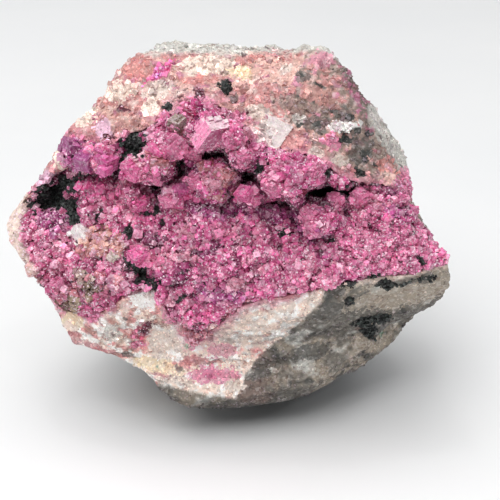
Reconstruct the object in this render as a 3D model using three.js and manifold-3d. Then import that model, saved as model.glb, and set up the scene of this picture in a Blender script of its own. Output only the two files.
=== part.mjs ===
// Cobaltoan calcite specimen: a palm-sized chunk of grey dolomite rock whose broken front
// carries a crust of magenta calcite crystals under a pale ledge of the same rock.
// Units are millimetres, +Z is up and the crystals face -Y.
// The origin is the bottom centre of the specimen's bounding box, on the flat it rests on.
import * as THREE from "three";
import { ConvexHull } from "three/addons/math/ConvexHull.js";
import { ImprovedNoise } from "three/addons/math/ImprovedNoise.js";
import { mergeVertices } from "three/addons/utils/BufferGeometryUtils.js";
import Module from "manifold-3d";

const wasm = await Module();
wasm.setup();

// Corners of the broken chunk, [x, y, z], before the noise that roughens its faces.
const CORNERS = {
  // Rim of the front, clockwise from the left tip.
  leftTipLow: [-50.5, -21, 41.5],
  leftTip: [-52, -17, 43.5],
  leftShoulder: [-43.5, -13, 56.5],
  leftCheek: [-36, -12, 66],
  topLeft: [-28, -10, 75],
  topLeftRise: [-21, -8, 78.6],
  topMiddle: [2, -8, 79],
  topRight: [15, -7, 80],
  rightShoulder: [19.8, -12, 75],
  rightCheek: [25, -17, 66],
  rightArm: [31, -22, 56.6],
  rightTip: [41, -28, 40.5],
  rightHeel: [42.2, -23.5, 31.4],
  lowRight: [33.5, -11, 14.5],
  lowerRight: [24, -9, 5],
  rimMiddle: [-16, -22, 7.2],
  rimLeft: [-30.5, -25.5, 18.5],
  lowerLeft: [-37.5, -25, 20.5],
  leftHeel: [-43, -23, 33],
  // Swells of the front face inside that rim.
  ledgeLeft: [-24, -23, 60],
  ledgeMiddle: [-6, -26.5, 65],
  ledgeRight: [16, -27.5, 59],
  bellyLeft: [-34, -27.5, 38],
  bellyMiddle: [-10, -32, 41],
  bellyRight: [24, -32.5, 41],
  brinkLeft: [-30, -28, 28],
  brinkMiddle: [-8, -30.5, 28],
  brinkRight: [17, -32.5, 37],
  ridgeMiddle: [1.5, -29.5, 25.5],
  ridgeFoot: [-8, -23, 9.5],
  // The foot, pushed below the ground so that the cut at z = 0 leaves a flat to rest on.
  footFrontLeft: [-11, -17, -1.5],
  footFrontRight: [3, -15.5, -2],
  footRight: [14, -3, -2],
  footBack: [3, 14, -2],
  footLeft: [-14, 8, -2],
  // The top and the back.
  crownLeft: [-16.5, 0, 79.6],
  crownRight: [8, 1, 77.4],
  backTopLeft: [-24, 12, 72],
  backTopRight: [6, 16, 73],
  backLeftHigh: [-36, 5, 56],
  backLeft: [-41, 9, 41],
  backLeftLow: [-30, 13, 19],
  backRightHigh: [27.5, 17, 57.5],
  backRightEdge: [34.2, 18, 50.5],
  backRight: [34, 12, 43],
  backRightLow: [29, 14, 17],
  backCrown: [-7, 27, 59],
  backMiddle: [7, 30, 38],
  backLow: [-8, 25, 16],
};
const HEART = new THREE.Vector3(-4, -2, 40); // the roughness pushes away from here

// Hollows broken out of the chunk's outline, [x, y, z, radius, depth].
const DENTS = [
  [-30, -10, 71.5, 7, 2.6],
  [-44, -15, 53, 8, 2.2],
  [-42, -22, 31, 9, 2.6],
  [-27, -22, 13, 9, 3],
  [34, -18, 19, 8, 2.8],
  [34, -22, 51, 8, 2],
  [38, -7, 47, 13, 3],
  [3, -4, 80, 5, 2],
  [23, -8, 69, 6, 1.8],
];

// The pale ledge above the crystals, as [x, z] along its lower lip.
const LEDGE = [
  [-47, 50], [-40, 56.5], [-32, 59.5], [-25, 58], [-16, 58], [-11, 62], [-5, 64.5],
  [1, 60.5], [7, 56.5], [18, 55.5], [22, 58], [31, 56],
];
const RECESS_DEPTH = 6; // how far the crystal wall steps back under the ledge
const LIP_HEIGHT = 2.5; // height over which it steps back
const RECESS_HEIGHT = 23; // distance below the lip where the wall is out again
const RECESS_FADE = [22, 34]; // x range over which the recess runs out to the right

// Pits of the front, [x, z, radius, depth].
const PITS = [
  [-40, 51, 7, 3],
  [-14, 56, 5, 2],
  [-27, 55.5, 4.5, 2.2],
  [-9, 62, 3.5, 1.6],
  [15, 55, 5, 2.2],
  [-13, 35, 3.5, 1.2],
  [-16, 24, 3, 1.2],
];
// Lumps of the front, [x, z, radius, height].
const LUMPS = [
  [-24, 49, 8, 1.8],
  [-12, 50, 5, 1.8],
  [2, 49, 4, 1.2],
  [15, 47, 5, 2.2],
  [28, 50, 4, 1.2],
  [-26, 42, 5, 1.4],
  [-34, 33, 5, 1.2],
  [6, 40, 5, 1.1],
];

// Outline of the crystal crust, [x, z], clockwise from its left end.
const CRUST_OUTLINE = [
  [-50.5, 43], [-47.5, 46.5], [-45, 50.5], [-42, 52], [-36.5, 56], [-38.5, 59.5], [-35.5, 62],
  [-27, 61.5], [-25, 64], [-21, 65], [-17, 68], [-11, 71.5], [-8, 71], [-4, 69.5], [-1, 66],
  [3.5, 63.5], [12, 62], [15, 60], [18, 57], [26, 55.5], [31, 52.5], [34.6, 48], [36.6, 44], [41, 41],
  [34, 39.8], [26, 39], [19, 39], [15, 37.3], [4, 35.3], [-2, 34], [-5, 30.5], [-9, 26],
  [-12, 23], [-13.5, 27], [-16.5, 31.5], [-18.5, 36], [-23.5, 36], [-28, 32.5], [-33, 28.5],
  [-39, 28.5], [-43.5, 33.5], [-48, 39],
];
const CRUST_DEPTH = 3.6; // thickness of the crust from front to back
const CRUST_GAP = 0.3; // clearance between the crust's edge and the rock around it
const CRUST_BACK = -8; // y at which the crust ends where it turns round the chunk's sides

// Large calcite rhombs, [x, z, edge, lean, spin], the first that the eye finds on the crust.
// Lean and spin are in radians; rhombs that touch have grown together.
const LARGE_RHOMBS = [
  [-8.4, 66.8, 5.4, 0.35, 0.5],
  [-3.3, 66.2, 4, -0.6, 1.9],
  [-29.3, 59.8, 5, 0.5, 2.4],
  [-35.6, 60, 3.6, -0.3, 0.9],
  [-33, 58.4, 3.8, 0.7, 3],
  [-22.6, 59.3, 3.6, 0.2, 1.2],
  [-19.4, 60, 4.2, -0.5, 4.1],
  [-17, 59, 3.4, 0.8, 5.2],
  [-16.4, 63.2, 4.4, 0.4, 0.2],
  [-14.1, 68, 3.6, -0.4, 2.2],
  [-9.1, 57.9, 4.6, 0.6, 3.4],
  [-5.1, 57.4, 5.2, -0.3, 1.1],
  [-7.3, 55.5, 3.8, 0.3, 4.6],
  [-14.8, 52.6, 5, 0.5, 0.7],
  [-0.6, 53.8, 4, -0.7, 2.6],
  [-1.7, 62.2, 3.6, 0.2, 5.6],
  [4.3, 58.8, 4.6, 0.6, 1.5],
  [8.1, 60.6, 4.4, -0.4, 3.8],
  [11.8, 60.3, 4, 0.5, 0.3],
  [8.6, 57.3, 4, -0.2, 2],
  [12.3, 51.3, 4.4, 0.4, 4.9],
  [16, 51.6, 3.8, -0.6, 1.3],
  [13.5, 48.8, 4.6, 0.2, 3.1],
  [-22.9, 52, 3.8, 0.7, 0.6],
];
// Small rhombs, spread at random.
const SMALL_RHOMBS = 54;
const SMALL_EDGE = [2.2, 3.5]; // edges of the smallest and largest of them
const SMALL_SPACING = 3.6; // least distance between two of them
const RIM_CLEARANCE = 1.2; // least distance from the crust's outline
const LARGE_CLEARANCE = 0.33; // and how much further they keep from a large one, in its edges
const SMALL_SEED = 20;
const SMALL_TRIES = 6000;
const RHOMB_SQUASH = 0.82; // a calcite rhomb is a cube pressed along one body diagonal
const RHOMB_RAISE = 0.08; // height of a rhomb's centre above the surface, in edges
const LARGEST_LEAN = 0.9; // radians between a small rhomb's axis and the surface's normal

const FINE_EDGE = 2.8; // longest edge of a facet along the ledge
const COARSE_EDGE = 9; // longest edge of a facet far from it
const EDGE_GROWTH = 0.175; // how fast the facets grow with distance from the ledge
const HIDDEN_COARSENESS = 1.6; // facets between crust and rock, against those of the front
const FRONT_REACH = 14; // distance behind the front at which its relief has faded
const FAR = 200; // larger than the specimen
const MATERIALS = {
  rock: { color: 0x8b857a, roughness: 0.9, metalness: 0 },
  crust: { color: 0xb8336f, roughness: 0.35, metalness: 0 },
};

// Roughness of the broken rock, each kind with the size of its features and their height.
const SWELLS = { size: 17, seed: 0, height: 1.3 };
const BLOCKS = { size: 8, seed: 9, height: 0.6, step: 0.9, steps: 3.2 };
const CHIPS = { size: 3.6, seed: 5, rock: 0.9, crust: 1.9 };
const ROUGHNESS_LIFT = -0.5; // brings the roughened faces back to where the corners put them

const perlin = new ImprovedNoise();
const smoothstep = THREE.MathUtils.smoothstep;

// Repeatable random numbers from 0 to 1.
function randomFrom(seed) {
  const multiplier = 1664525;
  const increment = 1013904223;
  const modulus = 2 ** 32;
  let state = seed;
  return () => {
    state = (state * multiplier + increment) % modulus;
    return state / modulus;
  };
}

// Height of the ledge's lip above a point of the front.
function ledgeAt(x) {
  const next = LEDGE.findIndex(([corner]) => corner > x);
  if (next === 0) return LEDGE[0][1];
  if (next < 0) return LEDGE.at(-1)[1];
  const [x0, z0] = LEDGE[next - 1];
  const [x1, z1] = LEDGE[next];
  return THREE.MathUtils.mapLinear(x, x0, x1, z0, z1);
}

const bell = (x, z, [x0, z0, radius, height]) =>
  height * Math.exp(-((x - x0) ** 2 + (z - z0) ** 2) / radius ** 2);

// How far the front stands back from the plain chunk at [x, z].
function recessAt(x, z) {
  const below = ledgeAt(x) - z;
  const step = smoothstep(below, 0, LIP_HEIGHT) * (1 - smoothstep(below, LIP_HEIGHT, RECESS_HEIGHT));
  const wall = RECESS_DEPTH * step * (1 - smoothstep(x, ...RECESS_FADE));
  const pits = PITS.reduce((sum, pit) => sum + bell(x, z, pit), 0);
  const lumps = LUMPS.reduce((sum, lump) => sum + bell(x, z, lump), 0);
  return wall + pits - lumps;
}

// Whether [x, z] lies inside an outline.
function insideOf(outline, x, z) {
  return outline.reduce((inside, [x1, z1], i) => {
    const [x0, z0] = outline.at(i - 1);
    const straddles = z1 > z !== z0 > z;
    const crossing = x0 + ((z - z0) / (z1 - z0)) * (x1 - x0);
    return straddles && x < crossing ? !inside : inside;
  }, false);
}

// Noise whose features are size across; each seed gives a pattern of its own.
const noiseAt = (p, { size, seed }) => perlin.noise(p.x / size + seed, p.y / size, p.z / size + seed);

// Roughness of broken rock: broad swells, blocky steps and small chips.
function roughness(p) {
  const swell = SWELLS.height * noiseAt(p, SWELLS);
  const noise = noiseAt(p, BLOCKS);
  const block = BLOCKS.height * noise + (BLOCKS.step * Math.round(noise * BLOCKS.steps)) / BLOCKS.steps;
  const chipHeight = insideOf(CRUST_OUTLINE, p.x, p.z) ? CHIPS.crust : CHIPS.rock;
  return swell + block + chipHeight * noiseAt(p, CHIPS) + ROUGHNESS_LIFT;
}

const dentAt = (p) =>
  DENTS.reduce((sum, [x, y, z, radius, depth]) => {
    const away = p.distanceToSquared(new THREE.Vector3(x, y, z)) / radius ** 2;
    return sum + depth * Math.exp(-away);
  }, 0);

const hull = new ConvexHull().setFromPoints(Object.values(CORNERS).map((c) => new THREE.Vector3(...c)));

// y of the plain chunk's front at [x, z].
function frontAt(x, z) {
  const reaches = hull.faces
    .filter(({ normal }) => normal.y < 0)
    .map(({ normal, constant }) => (constant - normal.x * x - normal.z * z) / normal.y);
  return Math.max(...reaches);
}

function solidFrom(geometry) {
  const bare = geometry.clone();
  bare.deleteAttribute("normal");
  bare.deleteAttribute("uv");
  const merged = mergeVertices(bare, 1e-4);
  const vertProperties = new Float32Array(merged.attributes.position.array);
  const triVerts = new Uint32Array(merged.index.array);
  return new wasm.Manifold(new wasm.Mesh({ numProp: 3, vertProperties, triVerts }));
}

function geometryFrom(solid) {
  const { numProp, vertProperties, triVerts } = solid.getMesh();
  const geometry = new THREE.BufferGeometry();
  geometry.setAttribute("position", new THREE.BufferAttribute(vertProperties, numProp));
  geometry.setIndex(new THREE.BufferAttribute(triVerts, 1));
  geometry.computeVertexNormals();
  return geometry;
}

const largestOf = (solid) => solid.decompose().reduce((a, b) => (a.volume() > b.volume() ? a : b));

// Halves the worst edge of a triangle, and of the halves, until every edge is within its limit.
// An edge is judged by its own ends alone, so triangles that share it halve it alike.
function refine([a, b, c], limitAt, corners) {
  const edges = [[a, b, c], [b, c, a], [c, a, b]];
  const excess = edges.map(([from, to]) => {
    const centre = from.clone().add(to).multiplyScalar(0.5);
    return { centre, ratio: from.distanceTo(to) / limitAt(centre) };
  });
  const worst = excess.reduce((most, { ratio }, i) => (ratio > excess[most].ratio ? i : most), 0);
  const { centre, ratio } = excess[worst];
  if (ratio <= 1) {
    corners.push(a, b, c);
    return;
  }
  const [from, to, tip] = edges[worst];
  refine([from, centre, tip], limitAt, corners);
  refine([centre, to, tip], limitAt, corners);
}

// A point of the plain chunk as the roughness, the dents and the relief of the front leave it.
function weathered(p) {
  const behind = p.y - frontAt(p.x, p.z);
  const recess = recessAt(p.x, p.z) * (1 - smoothstep(behind, 0, FRONT_REACH));
  const outwards = p.clone().sub(HEART).normalize();
  const moved = p.clone().addScaledVector(outwards, roughness(p) - dentAt(p));
  moved.y += recess;
  return moved;
}

// The whole chunk, rock and crust together.
function chunkGeometry(limitAt) {
  const corners = [];
  for (const { edge } of hull.faces) {
    refine([edge.head().point, edge.next.head().point, edge.prev.head().point], limitAt, corners);
  }
  return new THREE.BufferGeometry().setFromPoints(corners.map(weathered));
}

// The outline moved outwards by a distance, corner by corner.
function grown(outline, distance) {
  return outline.map(([x, z], i) => {
    const [x0, z0] = outline.at(i - 1);
    const [x1, z1] = outline[(i + 1) % outline.length];
    const before = new THREE.Vector2(x - x0, z - z0).normalize();
    const after = new THREE.Vector2(x1 - x, z1 - z).normalize();
    const outwards = new THREE.Vector2(-before.y - after.y, before.x + after.x).normalize();
    return [x + outwards.x * distance, z + outwards.y * distance];
  });
}

// The outline as a block that runs from before the chunk to a plane at y = back.
function blockOver(outline, back) {
  const shape = new THREE.Shape(outline.map(([x, z]) => new THREE.Vector2(x, z)));
  const geometry = new THREE.ExtrudeGeometry(shape, { depth: FAR, bevelEnabled: false });
  return solidFrom(geometry.rotateX(Math.PI / 2).translate(0, back, 0));
}

// Longest edge of a facet at a point: the facets grow with distance from the ledge.
function facetLimit({ x, y, z }) {
  const away = Math.abs(z - ledgeAt(x)) + Math.max(0, y - frontAt(x, z));
  return Math.min(FINE_EDGE + EDGE_GROWTH * away, COARSE_EDGE);
}

const chunkMesh = new THREE.Mesh(chunkGeometry(facetLimit));

// The point of the front at [x, z].
function surfaceAt(x, z) {
  const ray = new THREE.Raycaster(new THREE.Vector3(x, -FAR, z), new THREE.Vector3(0, 1, 0));
  return ray.intersectObject(chunkMesh)[0];
}

// One calcite rhomb of unit edge, its threefold axis along +Z.
function unitRhomb() {
  const upright = new THREE.Quaternion().setFromUnitVectors(
    new THREE.Vector3(1, 1, 1).normalize(),
    new THREE.Vector3(0, 0, 1),
  );
  const geometry = new THREE.BoxGeometry(1, 1, 1).applyQuaternion(upright);
  return geometry.scale(1, 1, RHOMB_SQUASH);
}

const rhomb = unitRhomb();

// A rhomb placed on the front, its axis leaning away from the surface's normal.
function rhombOn({ point, face }, edge, lean, spin, growth) {
  const turn = new THREE.Quaternion().setFromUnitVectors(new THREE.Vector3(0, 0, 1), face.normal);
  const tilt = new THREE.Quaternion().setFromEuler(new THREE.Euler(lean, 0, spin));
  const raised = point.clone().addScaledVector(face.normal, RHOMB_RAISE * edge);
  const size = edge + 2 * growth;
  const scale = new THREE.Vector3(size, size, size);
  const matrix = new THREE.Matrix4().compose(raised, turn.multiply(tilt), scale);
  return solidFrom(rhomb.clone().applyMatrix4(matrix));
}

// Places of the small rhombs: spread over the crust, clear of each other and of the large ones.
function smallPlaces() {
  const random = randomFrom(SMALL_SEED);
  const inner = grown(CRUST_OUTLINE, -RIM_CLEARANCE);
  const box = new THREE.Box2().setFromPoints(inner.map(([x, z]) => new THREE.Vector2(x, z)));
  const taken = LARGE_RHOMBS.map(([x, z, edge]) => [x, z, LARGE_CLEARANCE * edge]);
  const places = [];
  for (let tries = 0; tries < SMALL_TRIES && places.length < SMALL_RHOMBS; tries++) {
    const x = THREE.MathUtils.lerp(box.min.x, box.max.x, random());
    const z = THREE.MathUtils.lerp(box.min.y, box.max.y, random());
    const clear = taken.every(([a, b, reach]) => Math.hypot(x - a, z - b) > SMALL_SPACING + reach);
    if (!clear || !insideOf(inner, x, z) || !surfaceAt(x, z)) continue;
    const edge = THREE.MathUtils.lerp(...SMALL_EDGE, random() ** 2);
    places.push([x, z, edge, (2 * random() - 1) * LARGEST_LEAN, random() * 2 * Math.PI]);
    taken.push([x, z, 0]);
  }
  return places;
}

function rhombs(growth) {
  const solids = [...LARGE_RHOMBS, ...smallPlaces()].map(([x, z, ...set]) =>
    rhombOn(surfaceAt(x, z), ...set, growth),
  );
  return wasm.Manifold.union(solids);
}

function meshOf(name, solid, material) {
  const mesh = new THREE.Mesh(geometryFrom(solid), new THREE.MeshStandardMaterial(material));
  mesh.name = name;
  return mesh;
}

const ground = solidFrom(new THREE.BoxGeometry(FAR, FAR, FAR).translate(0, 0, -FAR / 2));
const chunk = solidFrom(chunkMesh.geometry).subtract(ground);

// The crust is the front of the chunk inside the outline, with the rhombs that grew on it.
const hidden = solidFrom(chunkGeometry((p) => HIDDEN_COARSENESS * facetLimit(p)));
const behindGap = hidden.translate(0, CRUST_DEPTH + CRUST_GAP, 0);
const behindCrust = hidden.translate(0, CRUST_DEPTH, 0).add(behindGap);
const crust = chunk
  .intersect(blockOver(CRUST_OUTLINE, CRUST_BACK))
  .add(rhombs(0))
  .subtract(behindCrust);

// The rock is the rest of it, cut back by the gap.
const room = blockOver(grown(CRUST_OUTLINE, CRUST_GAP), CRUST_BACK + CRUST_GAP);
const crustRoom = room.add(rhombs(CRUST_GAP)).subtract(behindGap);
const rock = chunk.subtract(crustRoom);

const specimen = new THREE.Group();
specimen.add(meshOf("host_rock", largestOf(rock), MATERIALS.rock));
specimen.add(meshOf("crystal_crust", largestOf(crust), MATERIALS.crust));

const bounds = new THREE.Box3().setFromObject(specimen);
const middle = bounds.getCenter(new THREE.Vector3());
specimen.position.set(-middle.x, -middle.y, -bounds.min.z);

export default specimen;
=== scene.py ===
"""Looks of the cobaltoan calcite specimen: rough rock, sugary fracture faces and a druse of rhombs.

Lengths are millimetres in the specimen's own frame until a piece is made, which is in metres.
Marks are placed where the photograph's camera sees them, in pixels of its 500 by 500 frame.
"""

import math

import bpy
import numpy as np
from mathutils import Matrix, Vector, noise
from mathutils.bvhtree import BVHTree
from mathutils.kdtree import KDTree


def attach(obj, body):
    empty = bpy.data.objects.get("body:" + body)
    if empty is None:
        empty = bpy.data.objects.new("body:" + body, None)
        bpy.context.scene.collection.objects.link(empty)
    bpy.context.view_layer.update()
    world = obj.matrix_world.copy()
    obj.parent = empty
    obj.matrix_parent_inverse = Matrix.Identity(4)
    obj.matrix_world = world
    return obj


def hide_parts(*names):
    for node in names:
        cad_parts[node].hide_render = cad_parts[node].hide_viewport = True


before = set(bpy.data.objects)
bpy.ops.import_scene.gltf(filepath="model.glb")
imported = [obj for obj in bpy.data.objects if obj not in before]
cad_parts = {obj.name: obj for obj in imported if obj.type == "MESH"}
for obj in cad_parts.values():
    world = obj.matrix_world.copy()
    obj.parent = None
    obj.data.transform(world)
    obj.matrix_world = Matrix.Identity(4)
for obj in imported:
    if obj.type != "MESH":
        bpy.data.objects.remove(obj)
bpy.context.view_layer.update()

MM = 0.001
STONE = "dolomite_rock"
CALCITE = "cobaltoan_calcite"

# The photograph's camera: its frame, its lens, how far it is from its target and how far it looks down.
PIXELS = 500
LENS = 85
SENSOR = 36
DISTANCE = 265
ELEVATION = math.radians(25)
TARGET = np.array([4.83, 2.18, 31.0])
RIGHT = np.array([1.0, 0, 0])
UP = np.array([0, math.sin(ELEVATION), math.cos(ELEVATION)])
BACK = np.array([0, -math.cos(ELEVATION), math.sin(ELEVATION)])
EYE = TARGET + DISTANCE * BACK

# The longest edges that the meshes keep, and the depths over which the open rock's get longer.
FRONT_EDGE = 0.62
FAR_EDGE = 1.5
HIDDEN_EDGE = 4.0
CRUST_EDGE = 1.1
FAR_DEPTHS = (-8, 14)
# Rounds of smoothing, and the share of its way to its neighbours' mean that each draws a point.
SMOOTHING = 3
TOWARDS_MEAN = 0.6
# Rock this near the crust is covered by it.
GAP = 0.6
# Under the crust the rock is sunk, at most by this depth and this share of its own thickness.
SUNK_ROCK = 9
SUNK_SHARE = 0.45
# The crust's back follows it, at most by this depth and by this much less than the rock's share.
SUNK_BACK = 8
BACK_CLEAR = 1.2
# Neither is sunk this near the crust's rim.
RIM_STAYS = 0.8
# How far the bare rim reaches out to the left, to the rock's thin edge.
RIM_REACH = 1.2
# Heights over which the broken rock gets rougher.
ROUGH_HEIGHTS = (45, 55)
# How far the lower front leans out, and the heights and depths over which it does.
LIP = 15
LIP_HEIGHTS = (1, 24)
LIP_DEPTHS = (6, -12)

# Lines in the photograph. Those that run down it have their rows first and then their columns, those
# that run across it have their columns first.
# Left of this line the druse gives way to bare rock.
BARE_RIM_LINE = (
    [165, 178, 190, 203, 215, 230, 245, 260, 275, 292],
    [50, 42, 34, 29, 25, 22, 25, 33, 40, 50],
)
# Under this line the druse thins out.
LOW_LINE = (
    [60, 110, 150, 177, 200, 218, 232, 250, 268, 300],
    [330, 330, 292, 318, 330, 318, 306, 299, 300, 330],
)
# The upper edge of the salmon band over the druse, and the rows over which the band ends.
BAND_TOP = ([240, 262, 280, 318, 330, 345], [54, 52, 51, 49, 56, 70])
BAND_END_ROWS = (205, 225)
# The left edges and the last rows of the dark strip beside the band and of the pale rock beyond it.
STRIP_LEFT = ([65, 100, 135], [338, 352, 374])
STRIP_FOOT = 132
BEYOND_LEFT = ([60, 108, 125, 137, 175], [500, 366, 372, 379, 402])
BEYOND_FOOT = 175
# The cream face under the druse: the rows over which it starts, the ridge on its right and its foot.
CREAM_ROWS = (255, 265)
RIDGE = ([270, 300, 335, 352, 375, 400], [338, 322, 287, 263, 246, 238])
CREAM_FOOT = ([60, 160, 200, 240, 300], [420, 384, 393, 399, 399])
# Right of the ridge painted shade darkens the rock left of this column and under this row.
SHADED_COLUMN = 330
SHADED_ROW = 280
# The thin pale line between the druse and the grey face.
THIN_LINE = ([325, 380, 448], [284, 279, 267])
# Where the druse's edge gets sharp, over the grey face.
SHARP_COLUMNS = (290, 315)
SHARP_ROWS = (245, 262)
# Heights under which painted shade darkens the rock's undersides and its turned away sides.
UNDERSIDE_HEIGHTS = (40, 25)
TURNED_HEIGHTS = (24, 10)

# Colours as they look in even light, red, green and blue from 0 to 255.
PALETTE = {
    "grey": (134, 129, 120),
    "dark_grey": (88, 87, 83),
    "pale_grey": (214, 213, 206),
    "beige": (176, 164, 148),
    "brown_grey": (158, 138, 128),
    "salmon": (224, 158, 155),
    "salmon_red": (206, 136, 131),
    "brown_salmon": (188, 142, 133),
    "peach": (236, 192, 180),
    "cream": (244, 222, 208),
    "yellow_cream": (234, 214, 178),
    "white": (252, 249, 245),
    "grey_cream": (228, 214, 203),
    "lilac": (230, 190, 214),
    "druse": (214, 100, 152),
    "druse_pale": (243, 184, 208),
    "druse_deep": (138, 32, 78),
    "druse_purple": (160, 68, 120),
    "dusty_pink": (216, 146, 166),
    "pink": (226, 128, 168),
    "bright_pink": (234, 110, 166),
    "magenta": (212, 78, 144),
    "deep_pink": (170, 48, 92),
    "purple": (164, 78, 134),
    "pale_pink": (242, 208, 201),
    "peach_brown": (200, 154, 138),
    "olive": (148, 124, 106),
    "orchid": (204, 98, 154),
    "lilac_grey": (228, 217, 212),
    "charcoal": (66, 67, 64),
    "plum": (112, 44, 84),
    "maroon": (104, 52, 66),
    "wine": (62, 16, 38),
    "rose_brown": (194, 122, 130),
    "brown_pink": (184, 116, 122),
    "green": (110, 150, 124),
    "black_green": (34, 38, 36),
    "black": (26, 26, 27),
}

# Marks of these colours hide what they lie on, the others let a part of it through.
OPAQUE = ("black", "black_green", "charcoal", "olive", "maroon", "wine", "white", "bright_pink", "cream")
PART_COVER = 0.78

# Marks of the bare rock, laid one over another: colour, then for each of its marks centre x,
# centre y, half width, half height and turn in degrees.
ROCK_MARKS = [
    ("cream", (208, 65, 30, 9, 0), (122, 91, 19, 10, 15)),
    ("grey_cream", (157, 91, 11, 11, 0)),
    ("yellow_cream", (240, 72, 11, 8, 0)),
    ("peach", (282, 72, 22, 12, 0)),
    ("grey_cream", (284, 69, 12, 6, 20), (258, 110, 14, 6, 10)),
    ("cream", (151, 108, 9, 8, 0), (86, 116, 13, 9, 40)),
    ("lilac", (104, 130, 9, 10, 0)),
    ("dusty_pink", (92, 146, 11, 6, 0)),
    ("cream", (62, 160, 11, 11, 40)),
    ("lilac", (46, 180, 12, 7, 40)),
    ("cream", (20, 208, 9, 22, 0)),
    ("salmon_red", (138, 70, 14, 10, 0), (200, 79, 28, 4, 3), (247, 60, 14, 4, 10)),
    ("brown_salmon", (134, 126, 24, 9, -5), (232, 108, 16, 7, -5)),
    ("pink", (333, 95, 9, 6, 0), (334, 143, 9, 7, -30)),
    ("dusty_pink", (320, 60, 12, 9, 0)),
    ("pink", (236, 118, 14, 6, 0), (196, 106, 14, 8, 20), (166, 118, 5, 9, 0)),
    ("deep_pink", (192, 112, 8, 7, 0)),
    ("bright_pink", (158, 73, 17, 6, 38)),
    ("brown_grey", (305, 104, 26, 14, 0)),
    ("lilac_grey", (272, 133, 15, 18, 5)),
    ("dark_grey", (344, 114, 12, 8, 0)),
    ("charcoal", (349, 115, 7, 5, 10)),
    ("dark_grey", (318, 125, 15, 9, 0)),
    ("charcoal", (320, 125, 8, 7, 0), (302, 121, 3, 4, 0)),
    ("dark_grey", (361, 150, 12, 14, 30)),
    ("charcoal", (365, 153, 7, 7, 30), (369, 134, 4, 3, 0), (354, 141, 3, 3, 0)),
    ("brown_salmon", (322, 96, 22, 12, 0)),
    ("dusty_pink", (333, 96, 7, 6, 0)),
    ("salmon", (291, 142, 14, 8, 0)),
    ("salmon_red", (387, 168, 12, 10, -30)),
    ("dark_grey", (303, 76, 9, 7, -20)),
    ("charcoal",
     (303, 76, 5, 4, -20), (321, 86, 6, 2, -35), (299, 122, 5, 4, 0), (333, 111, 4, 3, 0),
     (298, 93, 3, 2, 0), (313, 101, 5, 2, 10), (347, 139, 6, 4, 0), (358, 131, 3, 4, 0),
     (376, 166, 3, 4, 30)),
    ("pale_grey", (300, 118, 7, 6, 0)),
    ("grey_cream", (316, 152, 8, 7, 0), (341, 160, 8, 6, 0)),
    ("dusty_pink", (388, 168, 10, 6, -50)),
    ("peach", (388, 178, 8, 7, 0)),
    ("black_green", (343, 139, 6, 4, 0), (360, 175, 7, 4, -20), (328, 173, 6, 4, 0)),
    ("white", (343, 127, 17, 5, 5)),
    ("black", (226, 88, 7, 6, -30)),
    ("dark_grey", (234, 96, 5, 4, 0)),
    ("maroon", (200, 93, 5, 8, 20)),
    ("black", (168, 109, 4, 4, -30)),
    ("maroon", (124, 108, 7, 4, -20), (110, 137, 6, 3, 15), (237, 112, 2, 3, 0), (248, 113, 2, 3, 0)),
    ("grey_cream", (166, 345, 18, 15, 0)),
    ("white", (145, 299, 15, 9, 15)),
    ("grey_cream", (181, 382, 17, 5, -20), (236, 386, 11, 5, 10)),
    ("white", (172, 352, 10, 5, -30)),
    ("yellow_cream", (158, 366, 24, 8, -15), (71, 321, 11, 9, -30)),
    ("pale_grey", (112, 333, 9, 10, 0)),
    ("dark_grey", (122, 320, 3, 3, 0), (114, 334, 3, 5, 0)),
    ("brown_grey", (70, 307, 9, 5, 0)),
    ("brown_pink", (66, 296, 13, 6, 0)),
    ("pink", (404, 180, 9, 15, -30)),
    ("druse", (409, 188, 8, 15, -38)),
    ("brown_pink", (284, 296, 18, 4, 8), (198, 360, 17, 5, 0)),
    ("dusty_pink", (222, 350, 15, 6, 0)),
    ("pink", (112, 303, 18, 4, 25), (92, 313, 9, 9, 0)),
    ("maroon", (87, 313, 3, 5, 0)),
    ("olive", (68, 307, 10, 8, 20)),
    ("cream", (70, 327, 9, 7, -30)),
    ("peach", (108, 306, 22, 5, 22)),
    ("pink", (178, 312, 16, 10, 10), (195, 338, 6, 14, -8), (139, 344, 8, 4, 0)),
    ("deep_pink", (141, 331, 11, 6, 35)),
    ("maroon", (143, 330, 11, 5, 35)),
    ("pink", (213, 375, 26, 9, 0)),
    ("magenta", (210, 374, 16, 7, 0)),
    ("brown_pink", (74, 338, 7, 8, -50), (98, 349, 20, 4, -15), (161, 375, 10, 2, -8)),
    ("dark_grey", (178, 368, 4, 4, 0), (127, 355, 6, 3, 0)),
    ("green", (157, 367, 2, 2, 0), (186, 347, 2, 3, 0)),
    ("beige", (395, 297, 54, 10, 10), (442, 282, 11, 14, 0), (380, 343, 13, 6, 40)),
    ("dark_grey", (328, 312, 15, 7, 20), (310, 352, 21, 8, 15), (262, 374, 15, 5, 15)),
    ("pale_grey", (275, 369, 5, 3, -30), (306, 363, 4, 2, 0)),
    ("dark_grey", (334, 291, 10, 7, 0)),
    ("black_green",
     (349, 281, 11, 3, 0), (388, 284, 10, 4, 0), (418, 280, 30, 1, 9), (348, 303, 4, 5, -30),
     (364, 321, 9, 5, -15), (380, 318, 11, 5, 12), (369, 330, 9, 6, -10)),
    ("green", (382, 335, 4, 2, 30)),
]
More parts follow.
